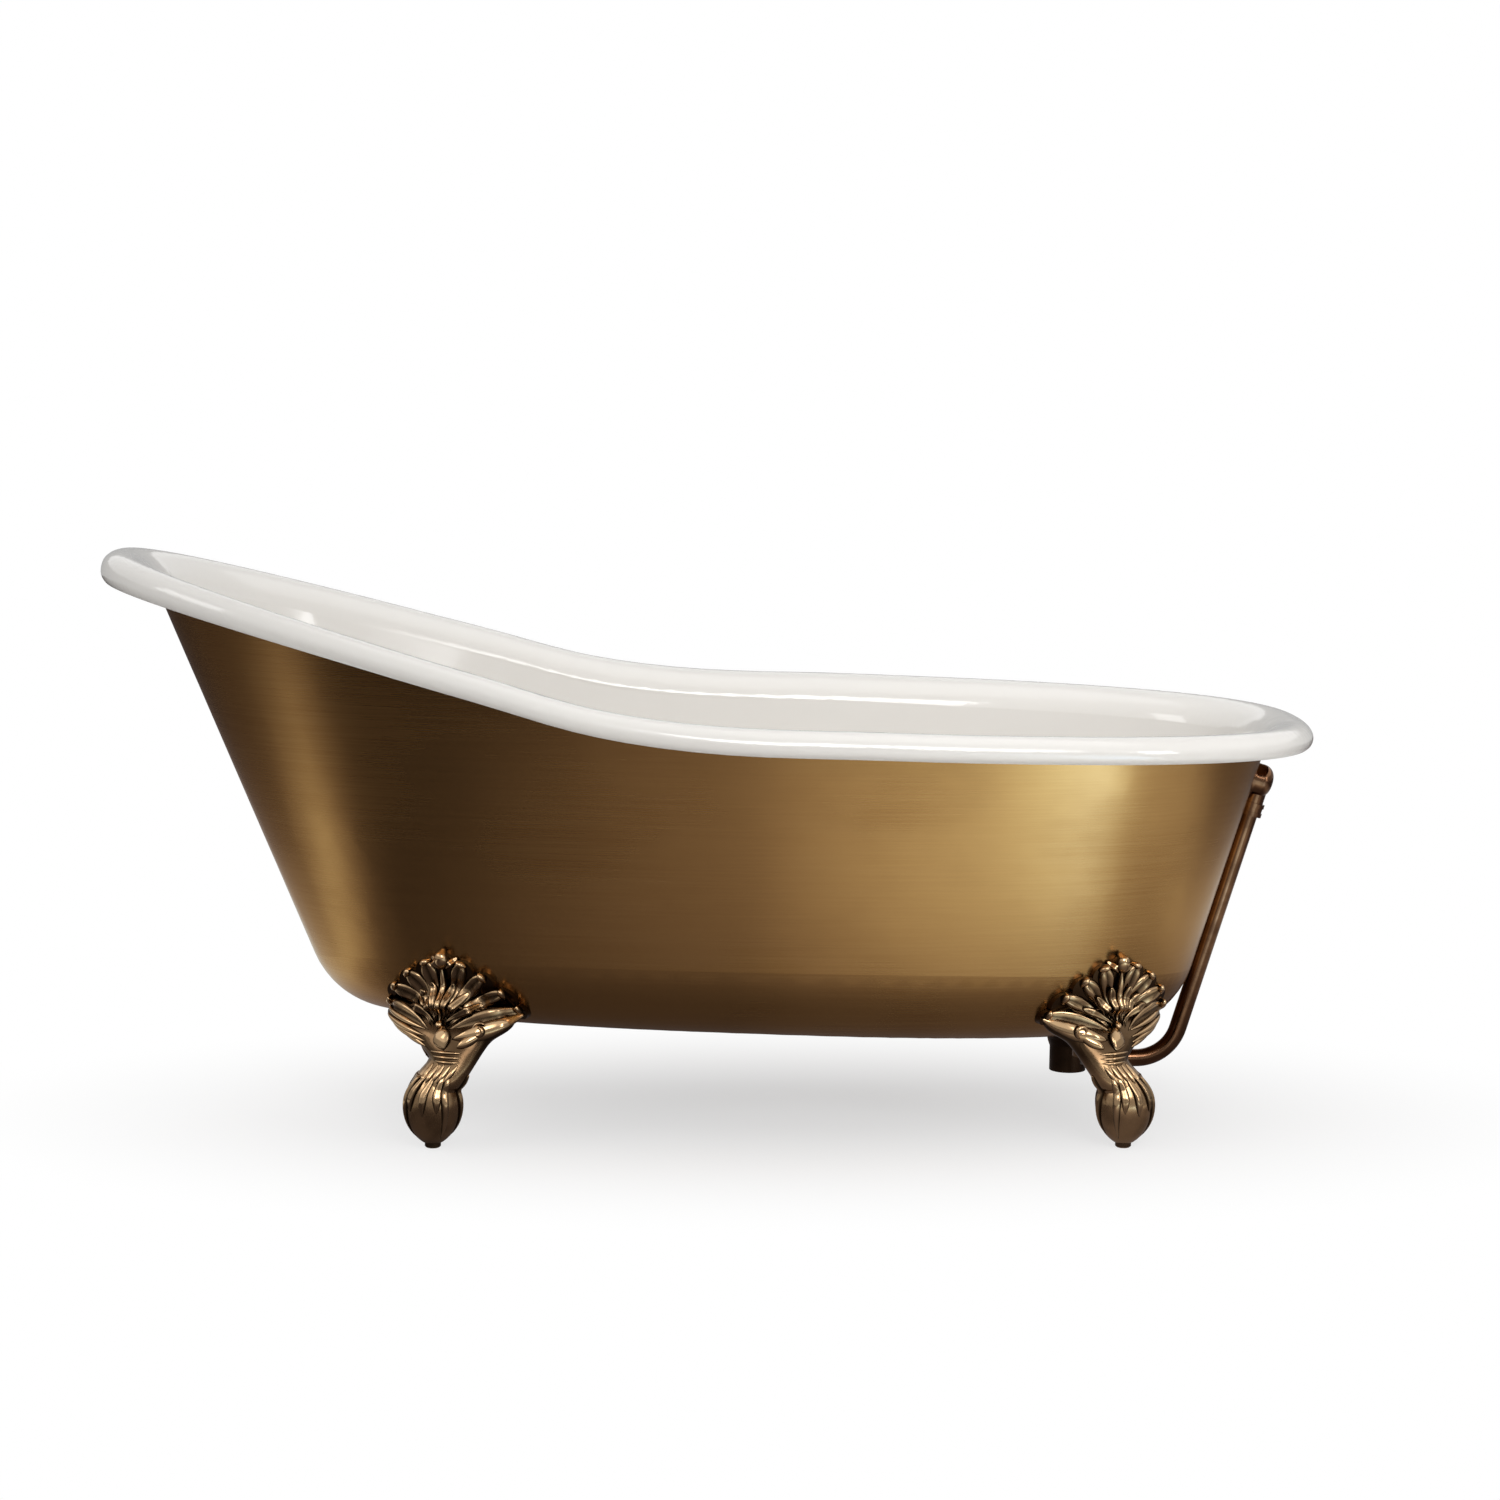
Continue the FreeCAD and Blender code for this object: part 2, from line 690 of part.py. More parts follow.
studs = []
washers = []
nuts = []
for end, side in FEET:
    foot = "%s_%s" % (end, side)
    washer_base = lug_place(end, side) - UP * size("arm_thickness + washer_thickness")
    nut_base = washer_base - UP * size("nut_height")
    hole_drop = UP * size("cut_overrun")
    studs.append(cylinder(
        "stud_" + foot, "stud_radius",
        "stud_tail + nut_height + washer_thickness + arm_thickness + stud_grip",
        nut_base - UP * size("stud_tail")))
    disc = cylinder("washer_disc_" + foot, "washer_radius", "washer_thickness", washer_base)
    disc_hole = cylinder(
        "washer_hole_" + foot, "stud_radius + hole_gap", "washer_thickness + 2 * cut_overrun",
        washer_base - hole_drop)
    washers.append(cut("washer_" + foot, disc, disc_hole))
    block = doc.addObject("Part::Prism", "nut_block_" + foot)
    block.Polygon = 6
    block.Placement = Placement(nut_base, Rotation())
    block.setExpression("Circumradius", bound("nut_corner_radius"))
    block.setExpression("Height", bound("nut_height"))
    block_hole = cylinder(
        "nut_hole_" + foot, "stud_radius + thread_gap", "nut_height + 2 * cut_overrun",
        nut_base - hole_drop)
    nuts.append(cut("nut_" + foot, block, block_hole))
group("foot_studs", studs)
group("foot_washers", washers)
group("foot_nuts", nuts)


# Levellers: a toe on a stem, in the socket under each ball

for end, side in FEET:
    revolved(
        "leveller_%s_%s" % (end, side),
        [("0", "0"), ("toe_radius - toe_round", "0"), ("toe_radius", "toe_round"),
         ("toe_radius", "toe_height"), ("leveller_stem_radius", "toe_height"),
         ("leveller_stem_radius", "toe_height + leveller_stem_length"),
         ("0", "toe_height + leveller_stem_length")],
        foot_place(end, side))


# Drain: a flange in the floor, with a bar across its throat that carries the stopper's post

def lifted(sketch, height):
    """Moves a sketch off its plane, along the plane's normal."""
    sketch.AttachmentOffset = Placement(UP * size(height), Rotation())
    sketch.setExpression("AttachmentOffset.Base.z", bound(height))
    return sketch


def pushed(kind, body, name, sketch, length, backwards=False):
    """A pad or a pocket of a sketch."""
    step = body.newObject("PartDesign::" + kind, name)
    step.Profile = sketch
    step.Reversed = backwards
    step.setExpression("Length", bound(length))
    return step


flange = revolved(
    "waste_flange",
    [("throat_radius", "-flange_tube_length"), ("flange_tube_radius", "-flange_tube_length"),
     ("flange_tube_radius", "0"), ("flange_radius", "0"), ("flange_radius", "flange_edge"),
     ("flange_radius - flange_land", "flange_height"), ("dish_radius + dish_slope", "flange_height"),
     ("dish_radius", "flange_edge"), ("throat_radius", "flange_edge")],
    drain_place)
BAR_REACH = "(throat_radius + flange_tube_radius) / 2"
bar = outline(
    flange, "bar_outline", "XY_Plane",
    [(f"-({BAR_REACH})", "-bar_width / 2"), (BAR_REACH, "-bar_width / 2"),
     (BAR_REACH, "bar_width / 2"), (f"-({BAR_REACH})", "bar_width / 2")])
pushed("Pad", flange, "bar", lifted(bar, "-bar_drop"), "bar_height")
hub = rings(flange, "bar_hub_outline", "XY_Plane", ["bar_hub_radius"])
pushed("Pad", flange, "bar_hub", lifted(hub, "-bar_drop"), "bar_height")
post_hole = rings(flange, "post_hole_outline", "XY_Plane", ["post_screw_radius + thread_gap"])
pushed("Pocket", flange, "post_hole", lifted(post_hole, "bar_height - bar_drop"), "bar_height")

seal_bore = size("drain_hole_radius + drain_seal_inset")


def seal(label, bore, radius, base, axis, length, wall):
    """A ring from a flat seat towards the tub, trimmed by the face that it seals against."""
    disc = Part.makeCylinder(radius, length, base, axis)
    pieces = disc.cut(Part.makeCylinder(bore, length, base, axis)).cut(wall).Solids
    return shaped(label, min(pieces, key=lambda piece: piece.CenterOfMass.dot(axis)))


seal("waste_seal_upper", seal_bore, size("drain_seal_radius"), drain_place.Base, -UP,
     size(f"{FLOOR_RISE} / 2 + drain_seal_upper"), lining)
lower_seat = Vector(drain_x, 0, size(f"{DRAIN_UNDER} - drain_seal_lower"))
seal("waste_seal_lower", seal_bore, size("drain_seal_radius"), lower_seat, UP,
     size(f"{FLOOR_RISE} / 2 + drain_seal_lower"), skin)


# Stopper: a domed cap on a rubber ring, lifted by its knob up a post

revolved(
    "stopper_post",
    [("0", "-bar_drop"), ("post_screw_radius", "-bar_drop"), ("post_screw_radius", "bar_height - bar_drop"),
     ("post_radius", "bar_height - bar_drop"), ("post_radius", "post_top"), ("0", "post_top")],
    drain_place)
CAP_UNDER = "flange_edge + stopper_seal_thickness"
CAP_TOP = f"{CAP_UNDER} + stopper_edge + stopper_dome"
revolved(
    "stopper_cap",
    [("post_radius + thread_gap", "-stopper_guide_depth"), ("stopper_guide_radius", "-stopper_guide_depth"),
     ("stopper_guide_radius", f"{CAP_UNDER} - stopper_hub_depth"),
     ("stopper_hub_radius", f"{CAP_UNDER} - stopper_hub_depth"), ("stopper_hub_radius", CAP_UNDER),
     ("stopper_radius", CAP_UNDER), ("stopper_radius", f"{CAP_UNDER} + stopper_edge"),
     ("stopper_radius * stopper_shoulder_share",
      f"{CAP_TOP} - stopper_dome * (1 - stopper_shoulder_share)"),
     ("stopper_knob_neck", CAP_TOP), ("stopper_knob_radius", f"{CAP_TOP} + stopper_knob_height / 2"),
     ("stopper_knob_radius", f"{CAP_TOP} + stopper_knob_height * stopper_shoulder_share"),
     ("stopper_knob_neck", f"{CAP_TOP} + stopper_knob_height"), ("0", f"{CAP_TOP} + stopper_knob_height"),
     ("0", "stopper_socket_top"), ("post_radius + thread_gap", "stopper_socket_top")],
    drain_place)
revolved(
    "stopper_seal",
    [("stopper_hub_radius + thread_gap", "flange_edge"), ("stopper_seal_radius", "flange_edge"),
     ("stopper_seal_radius", CAP_UNDER), ("stopper_hub_radius + thread_gap", CAP_UNDER)],
    drain_place)


# Waste shoe: a bell under the drain, with a side inlet for the overflow tube

INLET_HEIGHT = "(bottom_height_drain - inlet_drop)"
SHOE_TOP = f"({DRAIN_UNDER} - drain_seal_lower - {INLET_HEIGHT})"
BELL_FOOT = "(inlet_drop - shoe_bell_drop)"
BELL_RISE = f"({SHOE_TOP} - shoe_flange_thickness - {BELL_FOOT})"
SHOE_STEP = f"({DRAIN_SEAT} - flange_tube_length - hole_gap - {INLET_HEIGHT})"
SHOE_BOTTOM = "inlet_drop - shoe_depth"
bell = [(f"shoe_tail_radius + {out} * (shoe_flange_radius - shoe_tail_radius)",
         f"{BELL_FOOT} + {up} * {BELL_RISE}") for out, up in BELL_SHARES]
shoe = revolved(
    "waste_shoe",
    [("0", SHOE_BOTTOM), ("shoe_tail_radius", SHOE_BOTTOM), ("shoe_tail_radius", BELL_FOOT)] + bell
    + [("shoe_flange_radius", f"{SHOE_TOP} - shoe_flange_thickness"), ("shoe_flange_radius", SHOE_TOP),
       ("0", SHOE_TOP)],
    Placement(Vector(drain_x, 0, size(INLET_HEIGHT)), Rotation()))
boss = rings(shoe, "inlet_boss_outline", "YZ_Plane", ["inlet_boss_radius"])
pushed("Pad", shoe, "inlet_boss", boss, "inlet_boss_reach")
bores = shoe.newObject("PartDesign::Groove", "shoe_bores")
bores.Profile = outline(
    shoe, "shoe_bores_section", "XZ_Plane",
    [("0", f"{SHOE_BOTTOM} - cut_overrun"), ("outlet_radius", f"{SHOE_BOTTOM} - cut_overrun"),
     ("outlet_radius", SHOE_STEP), ("flange_tube_radius + thread_gap", SHOE_STEP),
     ("flange_tube_radius + thread_gap", f"{SHOE_TOP} + cut_overrun"), ("0", f"{SHOE_TOP} + cut_overrun")])
bores.ReferenceAxis = (bores.Profile[0], ["V_Axis"])
bores.Angle = 360
inlet = rings(shoe, "inlet_outline", "YZ_Plane", ["tube_radius - tube_wall"])
pushed("Pocket", shoe, "inlet", inlet, "inlet_boss_reach + cut_overrun", True)
entry = rings(shoe, "inlet_entry_outline", "YZ_Plane", ["tube_radius + thread_gap"])
pushed("Pocket", shoe, "inlet_entry", lifted(entry, "inlet_boss_reach - tube_entry"),
       "tube_entry + cut_overrun", True)


# Overflow head: a flanged dome on the end wall, with a spigot down to the tube

TUBE_OUT = "(tube_gap + tube_radius)"
HEAD_BACK = "overflow_seal_thickness"
head = revolved(
    "overflow_head",
    [("0", HEAD_BACK), ("head_flange_radius", HEAD_BACK),
     ("head_flange_radius", f"{HEAD_BACK} + head_flange_thickness"),
     ("head_dome_radius", f"{HEAD_BACK} + head_flange_thickness"), ("head_dome_radius", "head_depth"),
     ("0", "head_depth")],
    overflow_place)
doc.recompute()
dome = head.Tip
crown = max(range(len(dome.Shape.Edges)), key=lambda index: dome.Shape.Edges[index].BoundBox.ZMin)
rounding = head.newObject("PartDesign::Fillet", "head_rounding")
rounding.Base = (dome, ["Edge%d" % (crown + 1)])
rounding.setExpression("Radius", bound("head_round"))
spigot = rings(head, "spigot_outline", "YZ_Plane", ["inlet_boss_radius"], "0", TUBE_OUT)
pushed("Pad", head, "spigot", spigot, "head_spigot_length", True)
cavity = rings(head, "head_cavity_outline", "XY_Plane", ["head_cavity_radius"])
pushed("Pocket", head, "head_cavity", lifted(cavity, HEAD_BACK), "head_cavity_depth", True)
head_post = rings(head, "head_post_outline", "XY_Plane", ["head_post_radius"])
pushed("Pad", head, "head_post", lifted(head_post, "head_post_front"),
       f"{HEAD_BACK} + head_cavity_depth - head_post_front")
screw_hole = rings(head, "screw_hole_outline", "XY_Plane", ["screw_radius + thread_gap"])
pushed("Pocket", head, "screw_hole", lifted(screw_hole, "head_post_front"),
       "screw_engagement + screw_spare", True)
spigot_bore = rings(head, "spigot_bore_outline", "YZ_Plane", ["tube_radius - tube_wall"], "0", TUBE_OUT)
pushed("Pocket", head, "spigot_bore", lifted(spigot_bore, "-head_post_radius - hole_gap"),
       "head_spigot_length")
spigot_entry = rings(head, "spigot_entry_outline", "YZ_Plane", ["tube_radius + thread_gap"], "0", TUBE_OUT)
pushed("Pocket", head, "spigot_entry", lifted(spigot_entry, "tube_entry - head_spigot_length"),
       "tube_entry + cut_overrun")

overflow_bore = size("overflow_hole_radius + drain_seal_inset")
overflow_ring = size("overflow_seal_radius")
seal("overflow_seal", overflow_bore, overflow_ring, wall_point("overflow_seal_thickness"), -end_normal,
     size(f"{WALL} / 2 + overflow_seal_thickness"), skin)
seal("overflow_face_seal", overflow_bore, overflow_ring, wall_point(f"-{WALL} - face_standoff"), end_normal,
     size(f"{WALL} / 2 + face_standoff"), lining)


# Overflow face: a pierced disc inside the tub, held by one screw into the head

FACE_BACK = f"(-{WALL} - face_standoff)"
FACE_FRONT = f"({FACE_BACK} - face_height)"
face = revolved(
    "overflow_face",
    [("screw_radius + hole_gap", FACE_FRONT), ("face_radius * face_top_share", FACE_FRONT),
     ("face_radius", f"{FACE_BACK} - face_edge"), ("face_radius", FACE_BACK),
     ("screw_radius + hole_gap", FACE_BACK)],
    overflow_place)
face_hole = rings(face, "face_hole_outline", "XY_Plane", ["face_hole_radius"], "face_hole_circle")
piercing = pushed("Pocket", face, "face_hole", lifted(face_hole, f"{FACE_BACK} + cut_overrun"),
                  "face_height + 2 * cut_overrun")
circle = face.newObject("PartDesign::PolarPattern", "face_holes")
circle.Originals = [piercing]
circle.Axis = (face_hole, ["N_Axis"])
circle.Angle = 360
circle.setExpression("Occurrences", bound("face_hole_count"))
face.Tip = circle
revolved(
    "overflow_screw",
    [("0", f"{FACE_FRONT} - screw_head_height"),
     ("screw_head_radius * face_top_share", f"{FACE_FRONT} - screw_head_height"),
     ("screw_head_radius", f"{FACE_FRONT} - screw_head_height / 2"), ("screw_head_radius", FACE_FRONT),
     ("screw_radius", FACE_FRONT), ("screw_radius", "head_post_front + screw_engagement"),
     ("0", "head_post_front + screw_engagement")],
    overflow_place)


# Overflow tube: along the shoe's inlet, round a bend and up the end wall into the head

TUBE_START = f"({DRAIN_X} + inlet_boss_reach - tube_entry)"
TUBE_RUN = f"({wall_x(TUBE_OUT, 'tube_entry - head_spigot_length')} - {TUBE_START})"
TUBE_RISE = f"({wall_z(TUBE_OUT, 'tube_entry - head_spigot_length')} - {INLET_HEIGHT})"
BEND_LEAD = f"(tube_bend_radius * cos({LEAN}) / (1 + sin({LEAN})))"
BEND_START = f"({TUBE_RUN} - {TUBE_RISE} * tan({LEAN}) - {BEND_LEAD})"
tube = doc.addObject("PartDesign::Body", "overflow_tube")
tube_rings = rings(tube, "tube_rings", "YZ_Plane", ["tube_radius", "tube_radius - tube_wall"])
route = tube.newObject("Sketcher::SketchObject", "tube_route")
attach(route, tube, "XZ_Plane")
bend_radius = size("tube_bend_radius")
bend_start = Vector(size(BEND_START), 0, 0)
bend_centre = bend_start + Vector(0, bend_radius, 0)
lean = math.atan2(end_rise.x, end_rise.z)
bend_end = bend_centre + Vector(math.cos(lean), -math.sin(lean), 0) * bend_radius
route.addGeometry(Part.LineSegment(Vector(), bend_start), False)
bend = Part.Circle(bend_centre, UP, bend_radius)
route.addGeometry(Part.ArcOfCircle(bend, -math.pi / 2, -lean), False)
route.addGeometry(Part.LineSegment(bend_end, Vector(size(TUBE_RUN), size(TUBE_RISE), 0)), False)
route.addConstraint(Sketcher.Constraint("Coincident", 0, 1, -1, 1))
route.addConstraint(Sketcher.Constraint("Horizontal", 0))
route.addConstraint(Sketcher.Constraint("Tangent", 0, 2, 1, 1))
route.addConstraint(Sketcher.Constraint("Tangent", 1, 2, 2, 1))
bind(route, "Radius", (1,), "tube_bend_radius")
bind(route, "DistanceX", (-1, 1, 0, 2), BEND_START)
bind(route, "DistanceX", (-1, 1, 2, 2), TUBE_RUN)
bind(route, "DistanceY", (-1, 1, 2, 2), TUBE_RISE)
pipe = tube.newObject("PartDesign::AdditivePipe", "tube_pipe")
pipe.Profile = tube_rings
pipe.Spine = (route, ["Edge1", "Edge2", "Edge3"])
tube.Placement = Placement(Vector(size(TUBE_START), 0, size(INLET_HEIGHT)), Rotation())
add_node(tube, "overflow_tube")


# Union nuts and compression rings, at the two ends of the tube

inlet_face = Vector(size(f"{DRAIN_X} + inlet_boss_reach"), 0, size(INLET_HEIGHT))
JOINTS = [
    ("waste_union_nut", inlet_face, Vector(1, 0, 0)),
    ("overflow_union_nut", wall_point(TUBE_OUT, "-head_spigot_length"), -end_rise),
]
ferrules = []
for label, face_centre, direction in JOINTS:
    along_tube = Rotation(UP, direction)
    revolved(
        label,
        [("inlet_boss_radius + thread_gap", "-union_overlap"), ("union_bead_radius", "-union_overlap"),
         ("union_bead_radius", "union_bead_width - union_overlap"),
         ("union_radius", "union_bead_width - union_overlap"),
         ("union_radius", "ring_length + union_collar - union_bead_width"),
         ("union_bead_radius", "ring_length + union_collar - union_bead_width"),
         ("union_bead_radius", "ring_length + union_collar"),
         ("tube_radius + thread_gap", "ring_length + union_collar"),
         ("tube_radius + thread_gap", "ring_length"), ("inlet_boss_radius + thread_gap", "ring_length")],
        Placement(face_centre, along_tube))
    band = cylinder(label + "_ring_band", "inlet_boss_radius", "ring_length", face_centre, along_tube)
    band_bore = cylinder(
        label + "_ring_bore", "tube_radius + thread_gap", "ring_length + 2 * cut_overrun",
        face_centre - direction * size("cut_overrun"), along_tube)
    ferrules.append(cut(label + "_ring", band, band_bore))
group("overflow_ferrules", ferrules)


doc.recompute()
for item in doc.Objects:
    if "Invalid" in item.State or "Error" in item.State:
        raise RuntimeError(item.Label + " did not build")
os.makedirs("parts", exist_ok=True)
for node in nodes:
    if node.Shape.isNull() or not node.Shape.isValid():
        raise RuntimeError(node.Label + " has no valid shape")
    node.Shape.exportStep("parts/%s.step" % node.Label)
    print(node.Label, len(node.Shape.Solids), "solids", round(node.Shape.Volume), "mm3")
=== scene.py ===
# %% [markdown]
# # A slipper bath on claw feet
# The solids of this bath come ready made, in metres, with +X to the drain end and +Z up. This lesson
# gives them their finishes, adds the carving of the feet, and sets up the light and the camera.
# Nothing here moves or reshapes a solid: the looks are laid over the measured part.

# %% Load the bath
import json
import math
from collections import namedtuple

import bmesh
import bpy
from mathutils import Euler, Matrix, Vector
from mathutils.bvhtree import BVHTree


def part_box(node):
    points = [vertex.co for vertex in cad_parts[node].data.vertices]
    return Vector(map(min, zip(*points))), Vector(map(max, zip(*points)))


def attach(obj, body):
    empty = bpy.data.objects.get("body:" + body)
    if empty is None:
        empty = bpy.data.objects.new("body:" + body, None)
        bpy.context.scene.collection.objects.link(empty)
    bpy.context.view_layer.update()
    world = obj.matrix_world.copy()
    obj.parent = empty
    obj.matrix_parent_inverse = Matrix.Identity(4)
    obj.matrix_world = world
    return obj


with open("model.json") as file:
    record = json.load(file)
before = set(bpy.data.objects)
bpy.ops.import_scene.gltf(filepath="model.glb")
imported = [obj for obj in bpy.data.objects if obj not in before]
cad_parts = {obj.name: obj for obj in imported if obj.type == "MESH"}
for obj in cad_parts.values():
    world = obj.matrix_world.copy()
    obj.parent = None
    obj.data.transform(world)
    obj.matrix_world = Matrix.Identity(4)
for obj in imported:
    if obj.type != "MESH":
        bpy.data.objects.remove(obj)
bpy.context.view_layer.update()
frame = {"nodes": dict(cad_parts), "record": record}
nodes = frame["nodes"]
scene = bpy.context.scene

# %% [markdown]
# ## Camera
# The photographer stood about five metres away with a long lens, a little above the rim, and turned
# the camera slightly to the right. A long lens keeps the two ends of the bath at nearly the same
# scale. A constraint could aim the camera at the bath, but it would hold the horizon level, and this
# camera leans a little. So its place and its three angles are given, in metres and degrees.

# %% Place the camera
CAMERA_PLACE = Vector((-0.208, -5.0, 1.182))
CAMERA_YAW = 3.03
CAMERA_PITCH = 7.575
CAMERA_ROLL = 0.72
LENS_PIXELS = 3565
IMAGE_PIXELS = 1500
SENSOR_WIDTH = 36

camera_data = bpy.data.cameras.new("bath_camera")
camera_data.sensor_width = SENSOR_WIDTH
camera_data.lens = SENSOR_WIDTH * LENS_PIXELS / IMAGE_PIXELS
camera = bpy.data.objects.new("bath_camera", camera_data)
turn = Euler((math.radians(90 - CAMERA_PITCH), 0, math.radians(-CAMERA_YAW)), "XYZ").to_matrix()
roll = Matrix.Rotation(math.radians(CAMERA_ROLL), 3, "Z")
camera.matrix_world = Matrix.Translation(CAMERA_PLACE) @ (turn @ roll).to_4x4()
scene.collection.objects.link(camera)
scene.camera = camera
scene.view_settings.view_transform = "Standard"
print("lens", round(camera_data.lens, 1), "mm")

# %% [markdown]
# ## Shader sums
# A finish is a small sum of noises and colours. Writing such sums as Python expressions is easier to
# read than linking Math nodes one by one, so one class wraps a socket: adding or multiplying two
# wrapped sockets adds the Math node for it. Any other node comes from its node method.

# %% Wrap a socket
EVEN = (1, 1, 1)


def set_stops(ramp, stops):
    """Sets a ramp's greys: pairs of a place and a value, with the first at 0 and the last at 1."""
    for place, value in stops[1:-1]:
        ramp.elements.new(place)
    for place, value in stops:
        nearest = min(ramp.elements, key=lambda item: abs(item.position - place))
        nearest.color = (value, value, value, 1)


class Socket:
    def __init__(self, tree, socket):
        self.tree = tree
        self.socket = socket

    def math(self, operation, first, second):
        return self.node("ShaderNodeMath", {"operation": operation}, {0: first, 1: second})

    def node(self, kind, settings, sockets, output=0):
        made = self.tree.nodes.new(kind)
        for name, value in settings.items():
            if name == "stops":
                set_stops(made.color_ramp, value)
            else:
                setattr(made, name, value)
        for name, value in sockets.items():
            if isinstance(value, Socket):
                self.tree.links.new(value.socket, made.inputs[name])
            else:
                made.inputs[name].default_value = value
        return Socket(self.tree, made.outputs[output])

    def __add__(self, other):
        return self.math("ADD", self, other)

    def __mul__(self, other):
        return self.math("MULTIPLY", self, other)

    def __sub__(self, other):
        return self.math("SUBTRACT", self, other)

    def __rsub__(self, other):
        return self.math("SUBTRACT", other, self)

    __radd__ = __add__
    __rmul__ = __mul__

    def axis(self, name):
        """One of the three numbers of a place: X, Y or Z."""
        return self.node("ShaderNodeSeparateXYZ", {}, {0: self}, name)

    def noise(self, scale, detail=3.0, stretch=EVEN):
        """A noise from 0 to 1, which may be stretched along the axes."""
        place = self.node("ShaderNodeMapping", {}, {"Vector": self, "Scale": stretch})
        return self.node("ShaderNodeTexNoise", {}, {"Vector": place, "Scale": scale, "Detail": detail})

    def ramp(self, low, high, to_low=0.0, to_high=1.0):
        """The value between two limits, spread smoothly over a new range."""
        return self.node("ShaderNodeMapRange", {"interpolation_type": "SMOOTHSTEP"}, {
            "Value": self, "From Min": low, "From Max": high, "To Min": to_low, "To Max": to_high})

    def mix(self, first, second):
        """A blend of two colours, with this value as the share of the second."""
        return self.node("ShaderNodeMix", {"data_type": "RGBA"}, {0: self, 6: first, 7: second}, 2)

    def bump(self, distance, strength=1.0):
        return self.node("ShaderNodeBump", {}, {"Height": self, "Distance": distance, "Strength": strength})


print("socket sums ready")

# %% [markdown]
# ## Finishes
# A finish has one Principled shader. Some of its values are fixed and some change over the surface. The
# changing ones are worked out from Object coordinates, which are metres on the part, so a grain keeps
# its real size on every piece and needs no unwrapped map.

# %% Start a finish
def finish_material(name, fixed):
    """A material with one Principled shader, its fixed values set, and its Object coordinates."""
    material = bpy.data.materials.new(name)
    material.use_nodes = True
    shader = material.node_tree.nodes["Principled BSDF"]
    for socket, value in fixed.items():
        shader.inputs[socket].default_value = value
    texture = material.node_tree.nodes.new("ShaderNodeTexCoord")
    return material, shader, Socket(material.node_tree, texture.outputs["Object"])


def feed(shader, **sockets):
    """Links wrapped sockets to a shader; base_color feeds Base Color, and so on."""
    for name, value in sockets.items():
        value.tree.links.new(value.socket, shader.inputs[name.replace("_", " ").title()])


print("finishes can be made")

# %% [markdown]
# ## White enamel
# The inside and the rolled rim are fired glass, poured on hot iron: warm white, very glossy, and
# never quite flat. One plain glossy colour would look like plastic. A wide, shallow noise as a bump
# gives the reflections their slight waver, and a fine one dulls the gloss a little where water and
# soap have dried.

# %% Make the enamel
ENAMEL_DEEP = (0.81, 0.78, 0.735, 1)
ENAMEL_PALE = (0.85, 0.825, 0.785, 1)
POOL_SCALE = 2.2
SPECK_SCALE = 60.0
SPECK_LIMITS = (0.35, 0.75)
WAVER_SCALE = 9.0
WAVER_HEIGHT = 0.0006
CLEAN_ROUGHNESS = 0.07
DRIED_ROUGHNESS = 0.14

enamel, enamel_shader, place = finish_material("white_enamel", {
    "IOR": 1.52, "Coat Weight": 0.6, "Coat Roughness": 0.03, "Metallic": 0.0})
pool = place.noise(POOL_SCALE)
speck = place.noise(SPECK_SCALE)
feed(enamel_shader,
     base_color=pool.mix(ENAMEL_DEEP, ENAMEL_PALE),
     roughness=speck.ramp(*SPECK_LIMITS, CLEAN_ROUGHNESS, DRIED_ROUGHNESS),
     normal=place.noise(WAVER_SCALE, detail=1.0).bump(WAVER_HEIGHT))
print(enamel.name, len(enamel.node_tree.nodes), "nodes")

# %% [markdown]
# ## Antique brass
# The outside is brass that was brushed along the bath and then darkened. The brush leaves fine lines
# that run level, so the noise is stretched: long along X and Y, short along Z. It feeds the roughness,
# the colour and a faint bump. A wide cloudy noise leaves the patina deeper in some places. The
# anisotropic value smears reflections across the lines, as brushed metal does, which lines as fine as
# these could not do alone in a picture of this size.

# %% Make the brass
BRASS_BRIGHT = (0.52, 0.29, 0.105, 1)
BRASS_DARK = (0.41, 0.215, 0.074, 1)
BRASS_STREAK = (0.60, 0.36, 0.145, 1)
STREAK_SHARE = 0.35
STREAK_LIMITS = (0.30, 0.72)
BRUSH_SCALE = 4.0
BRUSH_STRETCH = (1.5, 1.5, 260)
SCRATCH_SCALE = 3.0
SCRATCH_STRETCH = (6, 6, 900)
PATINA_SCALE = 3.2
PATINA_STRETCH = (1, 1, 1.4)
PATINA_LIMITS = (0.38, 0.70)
BRASS_ROUGHNESS = 0.16
BRUSH_HEIGHT = 0.00025
BRUSH_STRENGTH = 0.11

brass, brass_shader, place = finish_material("antique_brass", {
    "Metallic": 1.0, "Anisotropic": 0.6, "Anisotropic Rotation": 0.25})
lines = place.noise(BRUSH_SCALE, detail=4.0, stretch=BRUSH_STRETCH)
scratches = place.noise(SCRATCH_SCALE, detail=2.0, stretch=SCRATCH_STRETCH)
patina = place.noise(PATINA_SCALE, detail=4.0, stretch=PATINA_STRETCH).ramp(*PATINA_LIMITS)
tone = patina.mix(BRASS_BRIGHT, BRASS_DARK)
streak = lines.ramp(*STREAK_LIMITS)
feed(brass_shader,
     base_color=(streak * STREAK_SHARE).mix(tone, BRASS_STREAK),
     roughness=lines * 0.08 + scratches * 0.05 + patina * 0.07 + BRASS_ROUGHNESS,
     normal=(lines * 0.8 + scratches * 0.2).bump(BRUSH_HEIGHT, BRUSH_STRENGTH))
print(brass.name, len(brass.node_tree.nodes), "nodes")

